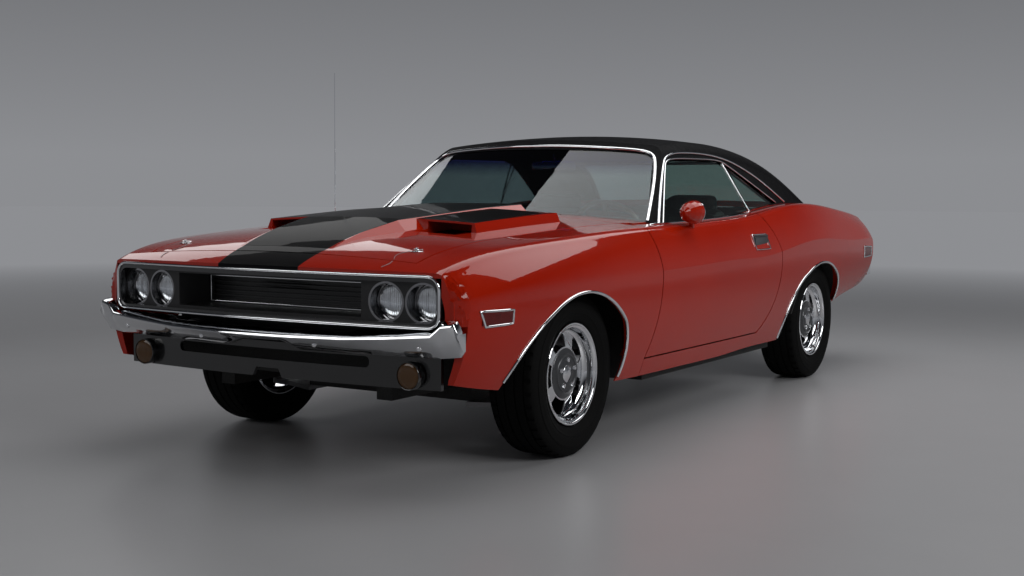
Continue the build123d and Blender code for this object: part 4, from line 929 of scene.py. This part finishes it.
# Hood pins: an oval plate, the pin and its clip, and the two ends of its wire
pins = {
    "x": 0.579, "station": -0.686, "sunk": 0.0006, "oval": 1.35, "lean": -7,
    "plate": ((0.0, 0.0), (0.0, 0.0190), (0.0016, 0.0196), (0.0026, 0.0186), (0.0030, 0.0060),
              (0.0040, 0.0048), (0.0130, 0.0046), (0.0146, 0.0034), (0.0150, 0.0)),
    "clip": ((-0.030, 0.004), (-0.008, 0.000), (0.004, -0.007), (0.018, -0.006),
             (0.026, 0.003), (0.016, 0.008), (0.002, 0.001), (-0.010, 0.005)),
    "clipHeight": 0.0085, "clipRadius": 0.0016,
    "wires": (   # end, node and body under it, run as (x, station)
        ("rear", "hood", "hood", (
            (0.566, -0.690), (0.540, -0.715), (0.532, -0.745), (0.538, -0.772), (0.552, -0.790))),
        ("front", "header_panel", "body", (
            (0.556, -0.806), (0.560, -0.825), (0.552, -0.843), (0.545, -0.858))),
    ),
    "wireRadius": 0.0011, "wireProud": 0.0016,
}


def hoodPin(setup):
    foot = downSkin("hood", setup["x"], setup["station"], -setup["sunk"])
    plate = spun("hood_pin", setup["plate"], foot, "Z", 40)
    bpy.ops.object.mode_set(mode="EDIT")
    bpy.ops.mesh.select_all(action="SELECT")
    bpy.ops.transform.resize(value=(setup["oval"], 1, 1), center_override=foot)
    bpy.ops.transform.rotate(value=math.radians(setup["lean"]), orient_axis="X", center_override=foot)
    bpy.ops.object.mode_set(mode="OBJECT")
    bends = [foot + Vector((x, y, setup["clipHeight"])) for x, y in setup["clip"]]
    clip = strip("hood_clip", bends, setup["clipRadius"])
    return joined([clip, plate], "hood_pin_left")


bothSides(hoodPin(pins), "hood", "chrome", sharp=40)
for end, nodeName, body, run in pins["wires"]:
    points = [downSkin(nodeName, x, station, pins["wireProud"]) for x, station in run]
    wire = strip(f"hood_pin_wire_{end}_left", points, pins["wireRadius"])
    bothSides(wire, body, "steel", sharp=60)

# Bright frames round the side lamps, as (station, height)
markers = {
    "lamps": (
        ("front", "fender_left", ((-0.750, 0.640), (-0.566, 0.636), (-0.570, 0.586), (-0.722, 0.584))),
        ("rear", "quarter_left", ((3.548, 0.724), (3.732, 0.716), (3.732, 0.660), (3.562, 0.658))),
    ),
    "steps": 6, "proud": 0.0022, "radius": 0.0052,
}
for end, carrier, corners in markers["lamps"]:
    points = [sideSkin(carrier, station, z, markers["proud"])
              for station, z in roundEdges(corners, markers["steps"])]
    ring = strip(f"marker_frame_{end}_left", points, markers["radius"], closed=True, smooth=False)
    bothSides(ring, "body", "chrome", sharp=60)

# Bumper bolts, exhaust tips and frames of the tail lamps
bolts = {
    "places": ((0.28, 0.499), (0.72, 0.509)),
    "head": ((0.002, 0.0), (0.002, 0.0105), (-0.001, 0.0105), (-0.0035, 0.0085), (-0.0050, 0.0050),
             (-0.0055, 0.0)),
}
for index, (x, z) in enumerate(bolts["places"]):
    place = skinAt("front_bumper", at(x, farOut["front"], z), (0, 1, 0))
    bolt = spun(f"bumper_bolt_{index}_left", bolts["head"], place, "Y", 24)
    bothSides(bolt, "body", "chrome", sharp=40)
tip = {
    "place": (0.560, 3.742, 0.296),
    "section": ((0.0, 0.0294), (0.0830, 0.0294), (0.0850, 0.0280), (0.0880, 0.0300), (0.0870, 0.0335),
                (0.0810, 0.0345), (0.0060, 0.0330), (0.0, 0.0294)),
}
exhaustTip = spun("exhaust_tip_left", tip["section"], at(*tip["place"]), "Y", 40)
bothSides(exhaustTip, "body", "chrome", sharp=40)
tailEdge = {
    "steps": 6, "radius": 0.005, "proud": 0.003,
    "narrow": 0.985, "toMiddle": 0.004, "middle": 0.77,     # rays start a little inside the lamp's edge
}


def tailFrame(low, high, inner, setup):
    station = high[1] - frontAxle + setup["proud"]
    corners = ((inner, low[2]), (high[0], low[2]), (high[0], high[2]), (inner, high[2]))
    points = []
    for x, z in roundEdges(corners, setup["steps"]):
        toMiddle = setup["toMiddle"] if z < setup["middle"] else -setup["toMiddle"]
        start = at(x * setup["narrow"], farOut["rear"], z + toMiddle)
        points.append(skinAt("tail_lamps", start, (0, -1, 0)) or at(x, station, z))
    return strip("tail_lamp_frame_left", points, setup["radius"], closed=True, smooth=False)


lampLow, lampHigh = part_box("tail_lamps")
inner = min(point.co.x for point in nodes["tail_lamps"].data.vertices if point.co.x > 0)
bothSides(tailFrame(lampLow, lampHigh, inner, tailEdge), "body", "chrome", sharp=60)

# Door handles: a dark flap in a bright frame
handle = {
    "front": 1.706, "rear": 1.880, "low": 0.772, "high": 0.842,
    "sunk": 0.006, "proud": 0.004, "bevel": 0.003,
    "rim": 0.006, "wellDepth": 0.0035, "gap": 0.004, "flapHeight": 0.0045, "flapBevel": 0.0015,
    "frame": ((1.704, 0.770), (1.882, 0.770), (1.882, 0.844), (1.704, 0.844)),
    "frameSteps": 5, "frameProud": 0.003, "frameRadius": 0.0034,
}


def doorHandle(setup):
    middle = (setup["low"] + setup["high"]) / 2
    place = sideSkin("door_left", (setup["front"] + setup["rear"]) / 2, middle)
    plate = block("door_handle_left", at(place.x - setup["sunk"], setup["front"], setup["low"]),
                  at(place.x + setup["proud"], setup["rear"], setup["high"]), setup["bevel"])
    bpy.ops.object.mode_set(mode="EDIT")
    pickFaces(plate, lambda center, normal: normal.x > 0.9 and abs(center.z - middle) < 0.03)
    bpy.ops.mesh.inset(thickness=setup["rim"])
    bpy.ops.transform.translate(value=(-setup["wellDepth"], 0, 0))
    bpy.ops.mesh.inset(thickness=setup["gap"])
    bpy.ops.transform.translate(value=(setup["flapHeight"], 0, 0))
    bpy.ops.mesh.bevel(offset=setup["flapBevel"], segments=2, affect="EDGES")
    bpy.ops.object.mode_set(mode="OBJECT")
    return plate


def handleFrame(setup):
    points = [sideSkin("door_left", station, z, setup["frameProud"])
              for station, z in roundEdges(setup["frame"], setup["frameSteps"])]
    return strip("door_handle_frame_left", points, setup["frameRadius"], closed=True, smooth=False)


handlePieces = ((doorHandle(handle), "hubGray", "black_paint"), (handleFrame(handle), "chrome", "chrome"))
for piece, look, slotName in handlePieces:
    bothSides(piece, "door_left", look, sharp=40)

# Mirror glass in its ring, on the rear of the door mirror
mirror = {
    "center": (0.900, 1.060, 0.965),
    "glass": ((0.0004, 0.0), (0.0004, 0.0470), (0.0016, 0.0465), (0.0022, 0.0)),
    "ring": ((-0.0040, 0.0545), (0.0005, 0.0548), (0.0028, 0.0530), (0.0030, 0.0500), (0.0012, 0.0465),
             (0.0004, 0.0470), (-0.0040, 0.0545)),
}
for part, look in (("glass", "reflector"), ("ring", "chrome")):
    shape = spun(f"mirror_{part}", mirror[part], at(*mirror["center"]), "Y", 48)
    done(shape, "door_left", look, sharp=40)

# Bright strip along the foot of the side windows
belt = {
    "x": 0.8125, "proud": 0.002, "radius": 0.0042, "steps": 12,
    "runs": (   # name, node and body under it, first and last station
        ("door", "door_left", "door_left", 0.62, 1.93),
        ("quarter", "quarter_left", "body", 1.965, 2.46),
    ),
}
for name, carrier, body, first, last in belt["runs"]:
    stations = [first + (last - first) * step / belt["steps"] for step in range(belt["steps"] + 1)]
    points = [downSkin(carrier, belt["x"], station, belt["proud"]) for station in stations]
    bothSides(strip(f"belt_strip_{name}_left", points, belt["radius"]), body, "chrome", sharp=60)

# Round lamps under the bumper: dark housings with an amber lens
parking = {
    "x": 0.655, "height": 0.405,
    "housing": ((0.030, 0.0470), (-0.003, 0.0470), (-0.0050, 0.0480), (-0.0055, 0.0495), (-0.0035, 0.0510),
                (0.030, 0.0510), (0.030, 0.0470)),
    "lens": ((0.0, 0.0), (0.0, 0.0462), (-0.0020, 0.0462), (-0.0048, 0.0420), (-0.0066, 0.0280),
             (-0.0072, 0.0)),
}
lampFace = at(parking["x"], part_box("marker_lamps")[0][1] - frontAxle, parking["height"])
for part, look, slotName in (("housing", "gloss", "black_paint"), ("lens", "parkingGlass", "lamp_glass")):
    shape = spun(f"parking_lamp_{part}_left", parking[part], lampFace, "Y", 48)
    bothSides(shape, "body", look, sharp=40)
print("small fittings ready")

# Seats: crowned pads with sewn channels
seats = {
    # name, center (x, station, z), size, backward lean, channels, crown
    "front": (
        ("front_cushion", (0.415, 1.650, 0.400), (0.490, 0.500, 0.175), 3.0, 5, 0.028),
        ("front_backrest", (0.415, 2.030, 0.700), (0.480, 0.130, 0.520), -17.0, 5, 0.022),
        ("front_headrest", (0.415, 2.105, 0.955), (0.270, 0.095, 0.150), -12.0, 0, 0.016),
    ),
    "rear": (
        ("rear_cushion", (0.0, 2.410, 0.462), (1.160, 0.400, 0.120), 3.0, 12, 0.024),
        ("rear_backrest", (0.0, 2.705, 0.705), (1.160, 0.100, 0.380), -21.0, 12, 0.018),
    ),
    "rings": ((0.92, 0.45), (0.62, 0.35), (0.30, 0.20)),    # share of the face, share of the crown
    "channelCuts": (-0.009, 0.0, 0.009), "channelDepth": 0.011,
    "base": ((0.235, 1.52, 0.235), (0.595, 1.92, 0.345)), "baseBevel": 0.02,
}


def pad(name, center, size, lean, channels, crown):
    only()
    place = at(*center)
    bpy.ops.mesh.primitive_cube_add(size=1, location=place, scale=size)
    made = bpy.context.object
    made.name = name
    bpy.ops.object.transform_apply(location=True, rotation=True, scale=True)
    bpy.ops.object.mode_set(mode="EDIT")
    bpy.ops.mesh.select_all(action="SELECT")
    bpy.ops.mesh.subdivide(number_cuts=3)
    flat = size[2] < size[1]                      # a cushion lies flat, a backrest stands
    faceAxis, longAxis = (2, 1) if flat else (1, 2)
    toward = 1 if flat else -1
    half = [part / 2 for part in size]
    seams = [place.x - half[0] + size[0] * (index + 1) / (channels + 1) for index in range(channels)]
    for seam in seams:
        for shift in seats["channelCuts"]:
            bpy.ops.mesh.select_all(action="SELECT")
            bpy.ops.mesh.bisect(plane_co=(seam + shift, 0, 0), plane_no=(1, 0, 0))
    bpy.ops.object.mode_set(mode="OBJECT")

    def onFace(spot, reach):
        proud = (spot[faceAxis] - place[faceAxis]) * toward
        along = abs(spot[longAxis] - place[longAxis])
        return proud > half[faceAxis] * 0.9 and along < half[longAxis] * reach

    def pushed(depth):
        bpy.ops.transform.translate(value=[depth * toward if axis == faceAxis else 0 for axis in range(3)])
        bpy.ops.object.mode_set(mode="OBJECT")

    for share, rise in seats["rings"]:
        across = half[0] * share
        pickPoints(made, lambda spot: onFace(spot, max(share, 0.55)) and abs(spot.x - place.x) < across)
        pushed(crown * rise)
    for seam in seams:
        pickPoints(made, lambda spot: onFace(spot, 0.95) and abs(spot.x - seam) < 0.002)
        pushed(-seats["channelDepth"])
    bpy.ops.object.mode_set(mode="EDIT")
    bpy.ops.mesh.select_all(action="SELECT")
    bpy.ops.transform.rotate(value=math.radians(lean), orient_axis="X", center_override=place)
    bpy.ops.object.mode_set(mode="OBJECT")
    modified(made, "SUBSURF", levels=2, render_levels=2)
    return made


for name, *shape in seats["front"]:
    piece = pad(f"{name}_left", *shape)
    twin = otherSide(piece, f"{name}_right")
    for made in (piece, twin):
        stands = ("front_seats",) if made.name == "front_cushion_left" else ()
        done(made, "body", "interior", sharp=70, stands=stands)
for name, *shape in seats["rear"]:
    piece = pad(name, *shape)
    stands = ("rear_seat",) if name == "rear_cushion" else ()
    done(piece, "body", "interior", sharp=70, stands=stands)
low, high = seats["base"]
seatBase = block("seat_base_left", at(*low), at(*high), seats["baseBevel"])
bothSides(seatBase, "body", "underseal", sharp=35)
print("seats ready")

# Inside mirror under the roof's front edge
insideMirror = {
    "low": (-0.125, 1.318, 1.158), "high": (0.125, 1.338, 1.212), "bevel": 0.008,
    "stalk": ((0, 1.336, 1.20), (0, 1.335, 1.225), (0, 1.322, 1.243)), "stalkRadius": 0.005,
}
plate = block("inside_mirror", at(*insideMirror["low"]), at(*insideMirror["high"]), insideMirror["bevel"])
bends = [at(*spot) for spot in insideMirror["stalk"]]
stalk = strip("inside_mirror_stalk", bends, insideMirror["stalkRadius"])
done(joined([stalk, plate], "inside_mirror"), "body", "chrome", sharp=40)

# Studio: a pale floor that fades into the backdrop, a soft light above and three round the car
studio = {
    "floorColor": (0.36, 0.36, 0.37), "floorShade": 0.93, "floorScale": 3.0,
    "floorRadius": 60, "floorRoughness": (0.30, 1.0), "fadeStart": 4.5, "fadeEnd": 13.0,
    "horizonColor": (0.52, 0.53, 0.56), "zenithColor": (0.030, 0.032, 0.038),
    "skyHeights": (0.02, 0.36), "worldStrength": 0.5,
    "lights": (   # name, place, size along and across, power
        ("roofLight", (0.8, 1.0, 4.6), (3.6, 7.0), 170),
        ("sideLight", (8.0, -2.0, 5.0), (7.0, 2.6), 330),
        ("noseLight", (-3.5, -8.5, 4.6), (6.0, 3.0), 120),
        ("farLight", (-7.0, 3.0, 5.0), (6.0, 2.0), 60),
    ),
    "lightsAim": (0, 0, 0.6),
}


def makeFloor(setup):
    bpy.ops.mesh.primitive_circle_add(vertices=96, radius=setup["floorRadius"], fill_type="NGON")
    floor = bpy.context.object
    floor.name = "studioFloor"
    made, tree, links, shader = newMaterial("paleFloor", setup["floorColor"], setup["floorRoughness"][0])
    space = objectSpace(tree)
    darker = tuple(part * setup["floorShade"] for part in setup["floorColor"])
    near = twoColors(tree, noiseAt(tree, space, setup["floorScale"]), setup["floorColor"], darker)
    spot = tree.new("ShaderNodeSeparateXYZ")
    links.new(space, spot.inputs["Vector"])
    squares = [reckon(tree, "MULTIPLY", spot.outputs[axis], spot.outputs[axis]) for axis in "XY"]
    reach = reckon(tree, "SQRT", reckon(tree, "ADD", *squares), 0)
    fade = spread(tree, reach, setup["fadeStart"], setup["fadeEnd"], 0.0, 1.0)
    links.new(twoColors(tree, fade, near, (0.0, 0.0, 0.0)), shader.inputs["Base Color"])
    shader.inputs["Emission Color"].default_value = (*setup["horizonColor"], 1)
    links.new(reckon(tree, "MULTIPLY", fade, setup["worldStrength"]), shader.inputs["Emission Strength"])
    links.new(spread(tree, fade, 0.0, 1.0, *setup["floorRoughness"]), shader.inputs["Roughness"])
    floor.data.materials.append(made)


def makeSky(setup):
    world = bpy.data.worlds.new("studioWorld")
    bpy.context.scene.world = world
    world.use_nodes = True
    tree = world.node_tree.nodes
    links = world.node_tree.links
    sky = tree["Background"]
    place = tree.new("ShaderNodeTexCoord")
    toward = tree.new("ShaderNodeSeparateXYZ")
    links.new(place.outputs["Generated"], toward.inputs["Vector"])
    height = spread(tree, toward.outputs["Z"], *setup["skyHeights"], 0.0, 1.0)
    links.new(twoColors(tree, height, setup["horizonColor"], setup["zenithColor"]), sky.inputs["Color"])
    sky.inputs["Strength"].default_value = setup["worldStrength"]


def makeLights(setup):
    for name, place, size, power in setup["lights"]:
        bpy.ops.object.light_add(type="AREA", location=place)
        lamp = bpy.context.object
        lamp.name = name
        lamp.data.shape = "RECTANGLE"
        lamp.data.size, lamp.data.size_y = size
        lamp.data.energy = power
        lamp.rotation_mode = "QUATERNION"
        lamp.rotation_quaternion = (Vector(place) - Vector(setup["lightsAim"])).to_track_quat("Z", "Y")


only()
makeFloor(studio)
makeSky(studio)
makeLights(studio)
bpy.context.scene.view_settings.view_transform = "Standard"
print("studio ready")
